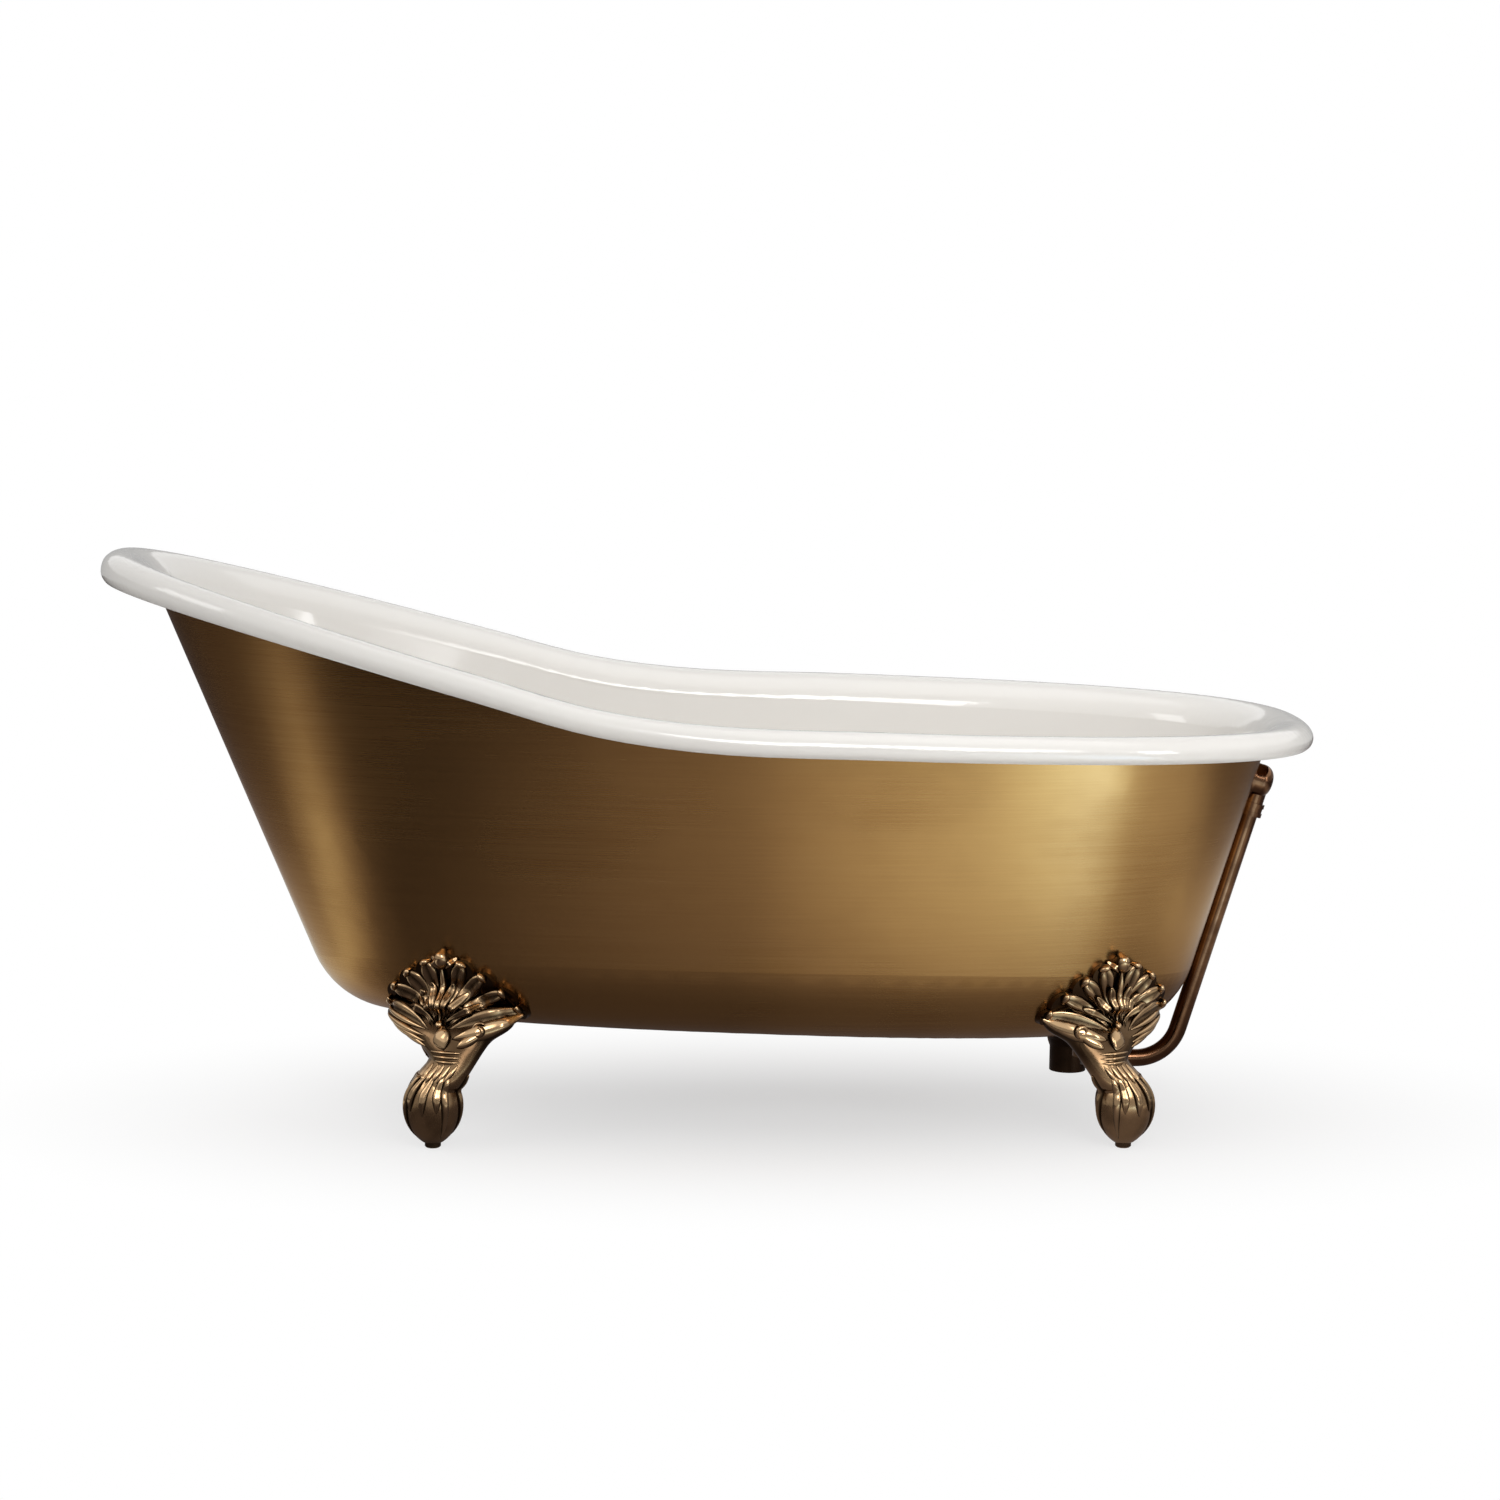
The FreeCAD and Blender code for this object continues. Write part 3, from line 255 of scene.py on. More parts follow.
# %% [markdown]
# ## Dark bronze
# The feet, the overflow pipe and the waste are cast or drawn bronze, darkened and then rubbed bright
# on the high places. A cloudy noise mixes the bright metal with the brown, and makes the brown
# patches duller. On the feet, above the ball, a dark colour takes over as a painted shade behind the
# carving, a little deeper behind the fan. The height decides how much, because the carving starts there.

# %% Make the bronze
CLOUD_SCALE = 26.0
GRAIN_SCALE = 420.0
WORN_LIMITS = (0.36, 0.66)
BRONZE_DENT = 0.0003
BRONZE_STRENGTH = 0.35
# Where the painted shade darkens the feet: heights and shares, the second pair deeper behind the fan.
PAINTED_SHADE_HEIGHTS = (0.095, 0.135)
PAINTED_SHADE_SHARE = 0.84
DEEP_PAINTED_SHADE_HEIGHTS = (0.155, 0.20)
DEEP_PAINTED_SHADE_SHARE = 0.08


def bronze_material(name, bright, brown, roughness, painted_shade=None):
    """Bronze with brown patches; its last colour, if given, is a painted shade above the ball of a foot."""
    material, shader, place = finish_material(name, {"Metallic": 1.0})
    cloud = place.noise(CLOUD_SCALE, detail=5.0)
    grain = place.noise(GRAIN_SCALE, detail=2.0)
    worn = cloud.ramp(*WORN_LIMITS)
    tone = worn.mix(bright, brown)
    # Painted shade: above the ball the bronze darkens with height.
    if painted_shade:
        height = place.axis("Z")
        shaded = height.ramp(*PAINTED_SHADE_HEIGHTS, 0, PAINTED_SHADE_SHARE)
        deeper_shade = height.ramp(*DEEP_PAINTED_SHADE_HEIGHTS, 0, DEEP_PAINTED_SHADE_SHARE)
        tone = (shaded + deeper_shade).mix(tone, painted_shade)
    feed(shader,
         base_color=tone,
         roughness=worn * 0.14 + grain * 0.06 + roughness,
         normal=(cloud * 0.6 + grain * 0.4).bump(BRONZE_DENT, BRONZE_STRENGTH))
    return material


foot_bronze = bronze_material(
    "foot_bronze", bright=(0.56, 0.360, 0.190, 1), brown=(0.32, 0.200, 0.105, 1), roughness=0.10,
    painted_shade=(0.045, 0.024, 0.012, 1))
pipe_bronze = bronze_material(
    "waste_bronze", bright=(0.22, 0.112, 0.058, 1), brown=(0.13, 0.063, 0.033, 1), roughness=0.07)
# A darker, duller bronze for the waste's shoe: a painted shade under the drain.
shaded_shoe_bronze = bronze_material(
    "shaded_shoe_bronze", bright=(0.06, 0.034, 0.02, 1), brown=(0.03, 0.018, 0.011, 1), roughness=0.30)
toe_bronze = bronze_material(
    "toe_bronze", bright=(0.16, 0.10, 0.06, 1), brown=(0.08, 0.05, 0.03, 1), roughness=0.24)
print("bronzes", [item.name for item in (foot_bronze, pipe_bronze, shaded_shoe_bronze, toe_bronze)])

# %% [markdown]
# ## Hidden metals and rubber
# Bare iron shows only where the casting ends under the rim and at the lugs. Zinc-plated steel holds
# the feet, plain brass rings sit in the nuts, and black rubber seals the holes. These are small or out
# of sight, so one recipe serves them all: two colours, a roughness and the scale of one noise.

# %% Make the plain finishes
PLAIN_LIMITS = (0.3, 0.7)
PLAIN_DENT = 0.0004
PLAIN_STRENGTH = 0.5


def plain_material(name, light, dark, metallic, roughness, scale):
    material, shader, place = finish_material(name, {"Metallic": metallic})
    cloud = place.noise(scale, detail=5.0)
    feed(shader,
         base_color=cloud.ramp(*PLAIN_LIMITS).mix(light, dark),
         roughness=cloud * 0.25 + roughness,
         normal=cloud.bump(PLAIN_DENT, PLAIN_STRENGTH))
    return material


iron = plain_material(
    "casting_iron", light=(0.075, 0.070, 0.066, 1), dark=(0.035, 0.032, 0.030, 1),
    metallic=0.6, roughness=0.45, scale=240.0)
steel = plain_material(
    "fastener_steel", light=(0.30, 0.29, 0.27, 1), dark=(0.13, 0.12, 0.11, 1),
    metallic=1.0, roughness=0.35, scale=180.0)
ring_brass = plain_material(
    "ring_brass", light=(0.66, 0.50, 0.24, 1), dark=(0.55, 0.40, 0.18, 1),
    metallic=1.0, roughness=0.20, scale=120.0)
rubber = plain_material(
    "seal_rubber", light=(0.035, 0.035, 0.034, 1), dark=(0.020, 0.020, 0.020, 1),
    metallic=0.0, roughness=0.55, scale=300.0)
print("plain finishes", [item.name for item in (iron, steel, ring_brass, rubber)])

# %% [markdown]
# ## Dressing the solids
# Every solid has a slot, which names what it is made of. Each could get its material by hand, but a
# table from slots to finishes dresses them all in one loop and misses none. One solid is an exception:
# the waste's shoe hangs under the drain, so its bronze is darker and duller, as a painted shade.

# %% Dress the solids
finish_of_slot = {
    "white_enamel": enamel, "antique_brass": brass, "foot_bronze": foot_bronze,
    "waste_bronze": pipe_bronze, "toe_bronze": toe_bronze, "casting_iron": iron,
    "fastener_steel": steel, "ring_brass": ring_brass, "seal_rubber": rubber}
for part in frame["record"]["subparts"]:
    mesh = nodes[part["node"]].data
    mesh.materials.clear()
    # The waste's shoe gets the darker bronze, a painted shade under the drain.
    finish = shaded_shoe_bronze if part["node"] == "waste_shoe" else finish_of_slot[part["material_slot"]]
    mesh.materials.append(finish)

# %% [markdown]
# ## Carving on the feet
# Each foot is a casting with leaves that fan out over the bath's wall, bands round the knee and talons
# that grip the ball. The solid has the main form. The carving could be a texture, but its edges catch
# the light and show against the brass, so it is real geometry. The four feet are one pattern, turned
# to face outwards and mirrored. So each gets a frame of its own, with X facing out and the origin on
# the floor, under the ball. The toe under each ball tells where that is.

# %% Find each foot
FOOT_TURN = {"slipper": 22, "drain": 25}
FEET = [("slipper", "right"), ("slipper", "left"), ("drain", "right"), ("drain", "left")]


def foot_frame(end, side):
    """A matrix whose X faces out of the foot, with its origin on the floor under the ball."""
    low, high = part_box("leveller_%s_%s" % (end, side))
    along = -1 if end == "slipper" else 1
    across = -1 if side == "right" else 1
    angle = math.radians(across * (90 - along * FOOT_TURN[end]))
    middle = (low + high) / 2
    return Matrix.Translation((middle.x, middle.y, 0)) @ Matrix.Rotation(angle, 4, "Z")


for end, side in FEET:
    print(end, side, "foot at", foot_frame(end, side).translation.to_tuple(3))

# %% [markdown]
# ### Touching the metal
# Carving has to sit on the metal wherever the wall curves. The places could be worked out from the
# bath's drawing, but a ray is simpler and always right: it starts outside the foot, goes inwards, and
# stops where it first meets the foot or the brass. All places here are in the foot's own frame.

# %% Touch the metal with rays
RAY_START = 0.2
RAY_LENGTH = 2 * RAY_START
LEAN_GUESS = 0.012
LEG_CORE = 0.018
OUTWARDS = Vector((1, 0, 0))
INWARDS = Vector((-1, 0, 0))


def mesh_tree(mesh):
    return BVHTree.FromPolygons([v.co for v in mesh.vertices], [f.vertices[:] for f in mesh.polygons])


skin_tree = mesh_tree(nodes["brass_skin"].data)


class Foot:
    def __init__(self, end, side):
        self.name = "%s_%s" % (end, side)
        self.inner = 1 if (end == "slipper") == (side == "right") else -1
        self.frame = foot_frame(end, side)
        self.trees = [mesh_tree(nodes["claw_foot_" + self.name].data), skin_tree]

    def hit(self, start, direction):
        """Where a ray first meets the metal."""
        origin = self.frame @ start
        aim = self.frame.to_3x3() @ direction
        found = [tree.ray_cast(origin, aim, RAY_LENGTH) for tree in self.trees]
        found = [item for item in found if item[0] is not None]
        if not found:
            return None
        return self.frame.inverted() @ min(found, key=lambda item: item[3])[0]

    def front(self, across, height):
        """The point on the front of the foot or the wall, across and up."""
        return self.hit(Vector((RAY_START, across, height)), INWARDS)

    def middle(self, height):
        """How far the leg stands to one side at a height."""
        depth = self.front(self.inner * LEAN_GUESS, height).x - LEG_CORE
        sides = []
        for way in (1, -1):
            start = Vector((depth, way * RAY_START, height))
            sides.append(self.hit(start, Vector((0, -way, 0))).y)
        return sum(sides) / 2

    def ball(self, angle, lean, height):
        """The point on the ball or ankle at an angle from the front, round a centre that may lean."""
        outwards = Vector((math.cos(angle), math.sin(angle), 0))
        return self.hit(outwards * RAY_START + Vector((0, self.inner * lean, height)), -outwards)


feet = [Foot(end, side) for end, side in FEET]
print("feet", [foot.name for foot in feet])

# %% [markdown]
# ### Routes
# The middle line of a leaf is its route. A curve object could be drawn by hand on each wall, but a
# route that is a function follows the metal by itself: it takes a share of the way, from 0 to 1, and
# gives a point, the direction sideways and the direction outwards. The front route is an arc near
# three spots. Rays find its depth, and a few rounds of easing lift it out of narrow dips.

# %% Lay a route over the front
ROUTE_STEPS = 28
EASING_ROUNDS = 4
CURL_POWER = 4


def front_route(foot, spots, lift=0.0, curl=0.0):
    """A route near three spots, across and up, raised by a lift and more at its end by a curl."""
    first, middle, last = [Vector(spot) for spot in spots]
    trail = []
    depths = []
    for step in range(ROUTE_STEPS + 1):
        share = step / ROUTE_STEPS
        spot = first * (1 - share) ** 2 + middle * (2 * share * (1 - share)) + last * share ** 2
        point = foot.front(spot.x, spot.y)
        trail.append(spot)
        depths.append(point.x if point else None)
    known = [depth for depth in depths if depth is not None]
    depths = [min(known) if depth is None else depth for depth in depths]
    for easing in range(EASING_ROUNDS):
        neighbours = zip(depths, depths[1:], depths[2:])
        inner = [max(here, (before + after) / 2) for before, here, after in neighbours]
        depths = [depths[0]] + inner + [depths[-1]]

    def route(share):
        place = share * ROUTE_STEPS
        step = min(int(place), ROUTE_STEPS - 1)
        part = place - step
        spot = trail[step].lerp(trail[step + 1], part)
        ahead = (trail[step + 1] - trail[step]).normalized()
        depth = depths[step] * (1 - part) + depths[step + 1] * part + lift + curl * share ** CURL_POWER
        return Vector((depth, spot.x, spot.y)), Vector((0, -ahead.y, ahead.x)), OUTWARDS

    return route


print("front routes have", ROUTE_STEPS, "steps")

# %% [markdown]
# ### Leaves from spheres
# Every leaf and talon starts as one sphere: its poles become the two tips, its belly is flattened, and
# it is bent along its route. A flat leaf with a Solidify modifier would keep a hard edge all round. A
# sphere is closed and round from the start. Each point also gets a number, which is high on a ridge and
# low at an edge, for the finish to read: wear on the ridge, partly patina and partly painted shade at the
# edge.

# %% Bend a sphere along a route
WEAR_AND_SHADE = "rubbed"
SEGMENTS_AROUND = 14
SEGMENTS_ALONG = 20
VEIN_WIDTH = 0.24
FULLNESS = 0.75
TINY = 1e-9


def sphere_place(vert):
    """A point of a round sphere: its share of the way between the poles, its side and its up."""
    turn = math.acos(max(-1.0, min(1.0, -vert.co.z))) / math.pi
    girth = max(math.hypot(vert.co.x, vert.co.y), TINY)
    return turn, vert.co.x / girth, vert.co.y / girth


def spindle(shape, route, width, rise, groove=0.0, along=SEGMENTS_ALONG, blunt=0.5):
    """Adds a closed leaf or talon. Its fullest place is at the share blunt of the route."""
    rubbed = shape.verts.layers.float[WEAR_AND_SHADE]
    made = bmesh.ops.create_uvsphere(shape, u_segments=SEGMENTS_AROUND, v_segments=along, radius=1.0)
    power = math.log(blunt) / math.log(0.5)
    for vert in made["verts"]:
        turn, side, up = sphere_place(vert)
        point, sideways, outwards = route(turn ** power)
        full = math.sin(math.pi * turn) ** FULLNESS
        vein = groove * math.exp(-(side / VEIN_WIDTH) ** 2) if up > 0 else 0
        # Wear and painted shade: high on the leaf's outer face, low at its edges and in its vein.
        vert[rubbed] = max(up, 0.0) * (1 - vein)
        vert.co = point + sideways * (width * full * side) + outwards * (rise * full * up * (1 - vein))


def lay(shape, foot, spots, lift=0.0, curl=0.0, **form):
    """Adds a leaf that lies on the foot's front, near three spots."""
    spindle(shape, front_route(foot, spots, lift, curl), **form)


print("a leaf has", SEGMENTS_AROUND, "by", SEGMENTS_ALONG, "segments")

# %% [markdown]
# ### One carving on one foot
# The founder casts the carving with the foot. Here it is a piece of its own, built in the foot's frame
# and then put in its place. It rides with the tub, as the foot does.

# %% Put a carving in place
def carving(foot, name, build, finish):
    """A finished carving on one foot: built in the foot's frame, put in place and dressed."""
    shape = bmesh.new()
    shape.verts.layers.float.new(WEAR_AND_SHADE)
    build(shape, foot)
    bmesh.ops.transform(shape, matrix=foot.frame, verts=shape.verts)
    bmesh.ops.recalc_face_normals(shape, faces=shape.faces)
    for face in shape.faces:
        face.smooth = True
    mesh = bpy.data.meshes.new("%s_%s" % (name, foot.name))
    shape.to_mesh(mesh)
    shape.free()
    mesh.materials.append(finish)
    piece = bpy.data.objects.new(mesh.name, mesh)
    scene.collection.objects.link(piece)
    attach(piece, "tub")
    return piece


print("carvings can be put on", len(feet), "feet")

# %% [markdown]
# ### Rubbed bronze with painted shade
# Carving is darkest in its grooves and at its edges, partly from the patina that stays there and partly
# as a painted shade, and bright on the ridges that hands and cloths reach. The Pointiness of the mesh
# could tell them apart, but it depends on how fine the mesh is. So the finish reads the number that
# each carved point carries and mixes the two colours by it.

# %% Make the carved bronze
GROOVE_PATINA_AND_SHADE = (0.040, 0.023, 0.012, 1)
RIDGE_BRIGHT = (0.57, 0.375, 0.205, 1)
GROOVE_ROUGHNESS = 0.30
CARVED_SCALE = 60.0
CARVED_LIMITS = (0.15, 0.85)
CARVED_DENT = 0.0004
CARVED_STRENGTH = 0.35

carved_bronze, carved_shader, place = finish_material("carved_bronze", {"Metallic": 1.0})
# This number mixes real wear and patina with a painted shade in the grooves and at the edges.
worn = place.node("ShaderNodeAttribute", {"attribute_name": WEAR_AND_SHADE}, {}, "Fac")
cloud = place.noise(CARVED_SCALE, detail=5.0)
bright = (worn * 0.9 + cloud * 0.5 - 0.3).ramp(*CARVED_LIMITS)
feed(carved_shader,
     base_color=bright.mix(GROOVE_PATINA_AND_SHADE, RIDGE_BRIGHT),
     roughness=GROOVE_ROUGHNESS - bright * 0.18,
     normal=cloud.bump(CARVED_DENT, CARVED_STRENGTH))
print(carved_bronze.name, len(carved_bronze.node_tree.nodes), "nodes")

# %% [markdown]
# ### Leaf fan
# Leaves spring from the knee like a palmette: first up, then outwards to the scallops of the fan's
# edge, where each tip rolls over into a bead. A second, shorter row lies on top, a rib climbs the
# middle, and a bud with two small petals crowns it. One sculpted mesh could hold it all, but a table
# of tips and one form for each kind of leaf is shorter and easy to change.

# %% Carve the leaf fan
LEAF_ROOT = (0.008, 0.166)
LEAF_ROOT_STEP = 0.004
LEAF_TIPS = [(0.027, 0.251), (0.057, 0.233), (0.083, 0.209), (0.100, 0.182)]
LEAF_BEND_SHARES = (0.38, 0.66)
LEAF_ARCH = 0.006
LEAF = {"width": 0.0125, "rise": 0.0085, "groove": 0.62, "blunt": 0.68, "lift": -0.001, "curl": 0.003}
BEAD_SEAT_SHARE = 0.10
BEAD_HALF = 0.0095
BEAD = {"width": 0.0052, "rise": 0.009, "along": 12, "lift": 0.0015}
INNER_ROOT_SHARE = 0.5
INNER_TIPS = [(0.016, 0.222), (0.036, 0.209), (0.052, 0.192)]
INNER_BEND_SHARES = (0.40, 0.62)
INNER_LEAF = {"width": 0.0062, "rise": 0.0065, "groove": 0.5, "blunt": 0.7, "lift": 0.006, "curl": 0.004}
PETAL_SPOTS = [(0.003, 0.240), (0.010, 0.250), (0.019, 0.257)]
PETAL = {"width": 0.0052, "rise": 0.0065, "groove": 0.4, "along": 14, "lift": 0.003}
RIB_SPOTS = [(0, 0.168), (0, 0.206), (0, 0.246)]
RIB = {"width": 0.0048, "rise": 0.0075, "lift": 0.005}
BUD_SPOTS = [(0, 0.239), (0, 0.256), (0, 0.270)]
BUD = {"width": 0.0105, "rise": 0.0110, "blunt": 0.45, "lift": 0.004}


def leaf_bend(root, tip, shares, arch=0.0):
    """A leaf's middle spot: at shares of the way across and up, raised by an arch."""
    across, up = shares
    return Vector((root.x + across * (tip.x - root.x), root.y + up * (tip.y - root.y) + arch))


def outer_leaf(shape, foot, root, tip):
    """A long leaf with a bead across its tip."""
    bend = leaf_bend(root, tip, LEAF_BEND_SHARES, LEAF_ARCH)
    lay(shape, foot, (root, bend, tip), **LEAF)
    edge = Vector((tip.y - bend.y, bend.x - tip.x)).normalized() * BEAD_HALF
    seat = tip.lerp(bend, BEAD_SEAT_SHARE)
    lay(shape, foot, (seat - edge, seat, seat + edge), **BEAD)


def build_leaf_fan(shape, foot):
    root_across, root_height = LEAF_ROOT
    for side in (1, -1):
        for number, (across, height) in enumerate(LEAF_TIPS):
            root = Vector((side * root_across, root_height - LEAF_ROOT_STEP * number))
            outer_leaf(shape, foot, root, Vector((side * across, height)))
        root = Vector((side * root_across * INNER_ROOT_SHARE, root_height))
        for across, height in INNER_TIPS:
            tip = Vector((side * across, height))
            bend = leaf_bend(root, tip, INNER_BEND_SHARES)
            lay(shape, foot, (root, bend, tip), **INNER_LEAF)
        lay(shape, foot, [(side * across, height) for across, height in PETAL_SPOTS], **PETAL)
    lay(shape, foot, RIB_SPOTS, **RIB)
    lay(shape, foot, BUD_SPOTS, **BUD)


leaf_fans = [carving(foot, "leaf_fan", build_leaf_fan, carved_bronze) for foot in feet]
print("leaf fans", [len(piece.data.polygons) for piece in leaf_fans])

# %% [markdown]
# ### Ankle
# The leg leans to the middle of the bath and stands a little off the ball. A founder fills such a step
# with a full ankle. A Boolean union with a smoothed seam could make one, but the solids stay as they
# are, so one more bent sphere goes there: its rings follow a list of ovals, from inside the ball to
# inside the leg. The later carving is laid over it, so it joins the metal that rays meet.

# %% Fill the ankle
Oval = namedtuple("Oval", "depth half_depth lean half_width")
ANKLE_RINGS = [
    (0.060, Oval(0.000, 0.0240, 0.0010, 0.0250)), (0.072, Oval(0.000, 0.0300, 0.0010, 0.0320)),
    (0.080, Oval(0.000, 0.0305, 0.0015, 0.0325)), (0.088, Oval(-0.001, 0.0285, 0.0048, 0.0328)),
    (0.097, Oval(-0.003, 0.0280, 0.0088, 0.0348)), (0.103, Oval(-0.006, 0.0285, 0.0115, 0.0350)),
    (0.109, Oval(-0.010, 0.0265, 0.0150, 0.0330)), (0.120, Oval(-0.017, 0.0250, 0.0195, 0.0305)),
    (0.132, Oval(-0.026, 0.0260, 0.0190, 0.0320)), (0.144, Oval(-0.034, 0.0220, 0.0140, 0.0260))]
ANKLE_EASING = [-0.006, -0.004, -0.002, 0.0, 0.002, 0.004, 0.006]
ANKLE_AROUND = 40
ANKLE_ALONG = 36
ANKLE_CLOSING = 4


def ankle_ring(height):
    """The ankle's oval at a height, eased over the heights near it."""
    ovals = []
    for offset in ANKLE_EASING:
        for (low, below), (high, above) in zip(ANKLE_RINGS, ANKLE_RINGS[1:]):
            if height + offset <= high:
                break
        part = max(0.0, min(1.0, (height + offset - low) / (high - low)))
        ovals.append([first + (second - first) * part for first, second in zip(below, above)])
    return Oval(*[sum(values) / len(values) for values in zip(*ovals)])


def build_ankle(shape, foot):
    made = bmesh.ops.create_uvsphere(
        shape, u_segments=ANKLE_AROUND, v_segments=ANKLE_ALONG, radius=1.0)
    low, high = ANKLE_RINGS[0][0], ANKLE_RINGS[-1][0]
    for vert in made["verts"]:
        turn, side, up = sphere_place(vert)
        full = min(1.0, ANKLE_CLOSING * math.sin(math.pi * turn))
        height = low + (high - low) * turn
        oval = ankle_ring(height)
        across = foot.inner * oval.lean + oval.half_width * full * side
        vert.co = Vector((oval.depth + oval.half_depth * full * up, across, height))


ankles = [carving(foot, "ankle", build_ankle, foot_bronze) for foot in feet]
for foot, piece in zip(feet, ankles):
    foot.trees.append(mesh_tree(piece.data))
print("ankles", [len(piece.data.polygons) for piece in ankles])

# %% [markdown]
# ### Wings
# Below the fan, a plain leaf sweeps along the bath's lower edge on the inner side, with a shorter one
# under it and a scroll between. On the outer side a row of ridges runs down into the knee. The scroll
# could be a spiral curve with a bevel, but bending the same sphere along a spiral route gives it the
# finish and the closed ends of the other leaves.

# %% Shape the wings
SWEEP_SPOTS = [(0.014, 0.150), (0.056, 0.154), (0.103, 0.178)]
SWEEP = {"width": 0.0125, "rise": 0.0085, "curl": 0.003, "blunt": 0.55, "along": 26}
LOWER_SPOTS = [(0.018, 0.140), (0.046, 0.146), (0.066, 0.162)]
LOWER = {"width": 0.0075, "rise": 0.007, "curl": 0.003}
SCROLL_CENTRE = (0.060, 0.163)
SCROLL_RADIUS = 0.0105
SCROLL_START = 0.6
SCROLL_TURNS = 1.3
SCROLL_CLOSING = 0.72
SCROLL_LIFT = 0.006
SCROLL_RISE = 0.004
SCROLL = {"width": 0.0036, "rise": 0.0066, "along": 36}
RIDGE_STARTS = [(0.099, 0.180), (0.094, 0.170), (0.081, 0.163), (0.064, 0.160)]
RIDGE_ENDS = [(0.021, 0.159), (0.024, 0.151), (0.027, 0.144), (0.028, 0.138)]
RIDGE_BEND_SHARE = 0.55
RIDGE_SAG = 0.003
RIDGE = {"width": 0.0050, "rise": 0.0060}


def on_leg(foot, across, height):
    """A spot beside the leg's middle line; across counts towards the middle of the bath."""
    return foot.middle(height) + foot.inner * across, height


def wing_spots(foot, spots):
    """A wing's spots: the first beside the leg's middle line, the others beside the foot's."""
    start, bend, tip = spots
    return on_leg(foot, *start), (foot.inner * bend[0], bend[1]), (foot.inner * tip[0], tip[1])


def scroll_route(foot):
    """A route that curls inwards round a spot on the front."""
    across, height = SCROLL_CENTRE
    seat = foot.front(foot.inner * across, height)

    def route(share):
        angle = foot.inner * (SCROLL_START + SCROLL_TURNS * 2 * math.pi * share)
        reach = SCROLL_RADIUS * (1 - SCROLL_CLOSING * share)
        sideways = Vector((0, math.cos(angle), math.sin(angle)))
        lift = SCROLL_LIFT + SCROLL_RISE * share
        return seat + sideways * reach + OUTWARDS * lift, sideways, OUTWARDS

    return route


def add_wings(shape, foot):
    lay(shape, foot, wing_spots(foot, SWEEP_SPOTS), **SWEEP)
    lay(shape, foot, wing_spots(foot, LOWER_SPOTS), **LOWER)
    spindle(shape, scroll_route(foot), **SCROLL)
    for (across, height), (to_across, to_height) in zip(RIDGE_STARTS, RIDGE_ENDS):
        start = (-foot.inner * across, height)
        end = on_leg(foot, -to_across, to_height)
        middle = (RIDGE_BEND_SHARE * (start[0] + end[0]), (height + to_height) / 2 - RIDGE_SAG)
        lay(shape, foot, (start, middle, end), **RIDGE)


print("wings have", len(RIDGE_STARTS), "ridges")

# %% [markdown]
# ### Knee
# The knee has a flat shield with a boss on it and three bands below, and ridges go on down the leg.
# Faces of the solid could be extruded into bands, but the solid is not reshaped, so each is one more
# bent sphere, laid across the leg or along it. Knee and wings are one piece, as they are on the casting.

# %% Carve the knee
SHIELD_HEIGHTS = (0.136, 0.150, 0.165)
SHIELD = {"width": 0.0150, "rise": 0.0060, "blunt": 0.55}
BOSS_SPOTS = [(0, 0.162), (0, 0.168), (0, 0.175)]
BOSS = {"width": 0.0060, "rise": 0.0070, "along": 12, "lift": 0.002}
BAND_HEIGHTS = [(0.1335, 0.024), (0.1275, 0.022), (0.1215, 0.020)]
BAND = {"width": 0.0026, "rise": 0.0042}
LEG_RIDGES = [-0.018, -0.009, 0.0, 0.009, 0.018]
LEG_RIDGE_HEIGHTS = (0.119, 0.106, 0.094)
LEG_RIDGE_SHARES = (1, 1, 0.85)
LEG_RIDGE = {"width": 0.0036, "rise": 0.0042}


def build_knee(shape, foot):
    add_wings(shape, foot)
    low, middle, high = SHIELD_HEIGHTS
    lay(shape, foot, (on_leg(foot, 0, low), on_leg(foot, 0, middle), (0, high)), **SHIELD)
    lay(shape, foot, BOSS_SPOTS, **BOSS)
    for height, half in BAND_HEIGHTS:
        lay(shape, foot, [on_leg(foot, across, height) for across in (-half, 0, half)], **BAND)
    for across in LEG_RIDGES:
        steps = zip(LEG_RIDGE_SHARES, LEG_RIDGE_HEIGHTS)
        lay(shape, foot, [on_leg(foot, share * across, height) for share, height in steps], **LEG_RIDGE)


knees = [carving(foot, "knee", build_knee, carved_bronze) for foot in feet]
print("knees", [len(piece.data.polygons) for piece in knees])

# %% [markdown]
# ### Talons
# Long talons run from the ankle over the ball and draw together below it. Short toes lie between them
# on the front. Each is thick at the knuckle and thin at its point. A talon could be a bevelled curve with
# a taper, but it would not touch the ball all the way. Here its route goes down the metal, by rays from
# all round, and is measured out in even steps so that its segments stay alike on the round ball.

# %% Carve the talons
BALL_STEPS = 60
TALON_TOP = 0.104
TALON_ENDS = [(-148, 0.020), (-98, 0.018), (-48, 0.016), (48, 0.016), (98, 0.018), (148, 0.020)]
TALON = {"width": 0.0060, "rise": 0.0052, "blunt": 0.32, "along": 26}
TOES = [(-30, 0.112, 0.054), (0, 0.114, 0.050), (30, 0.112, 0.054)]
TOE = {"width": 0.0062, "rise": 0.0058, "groove": 0.35, "blunt": 0.62}


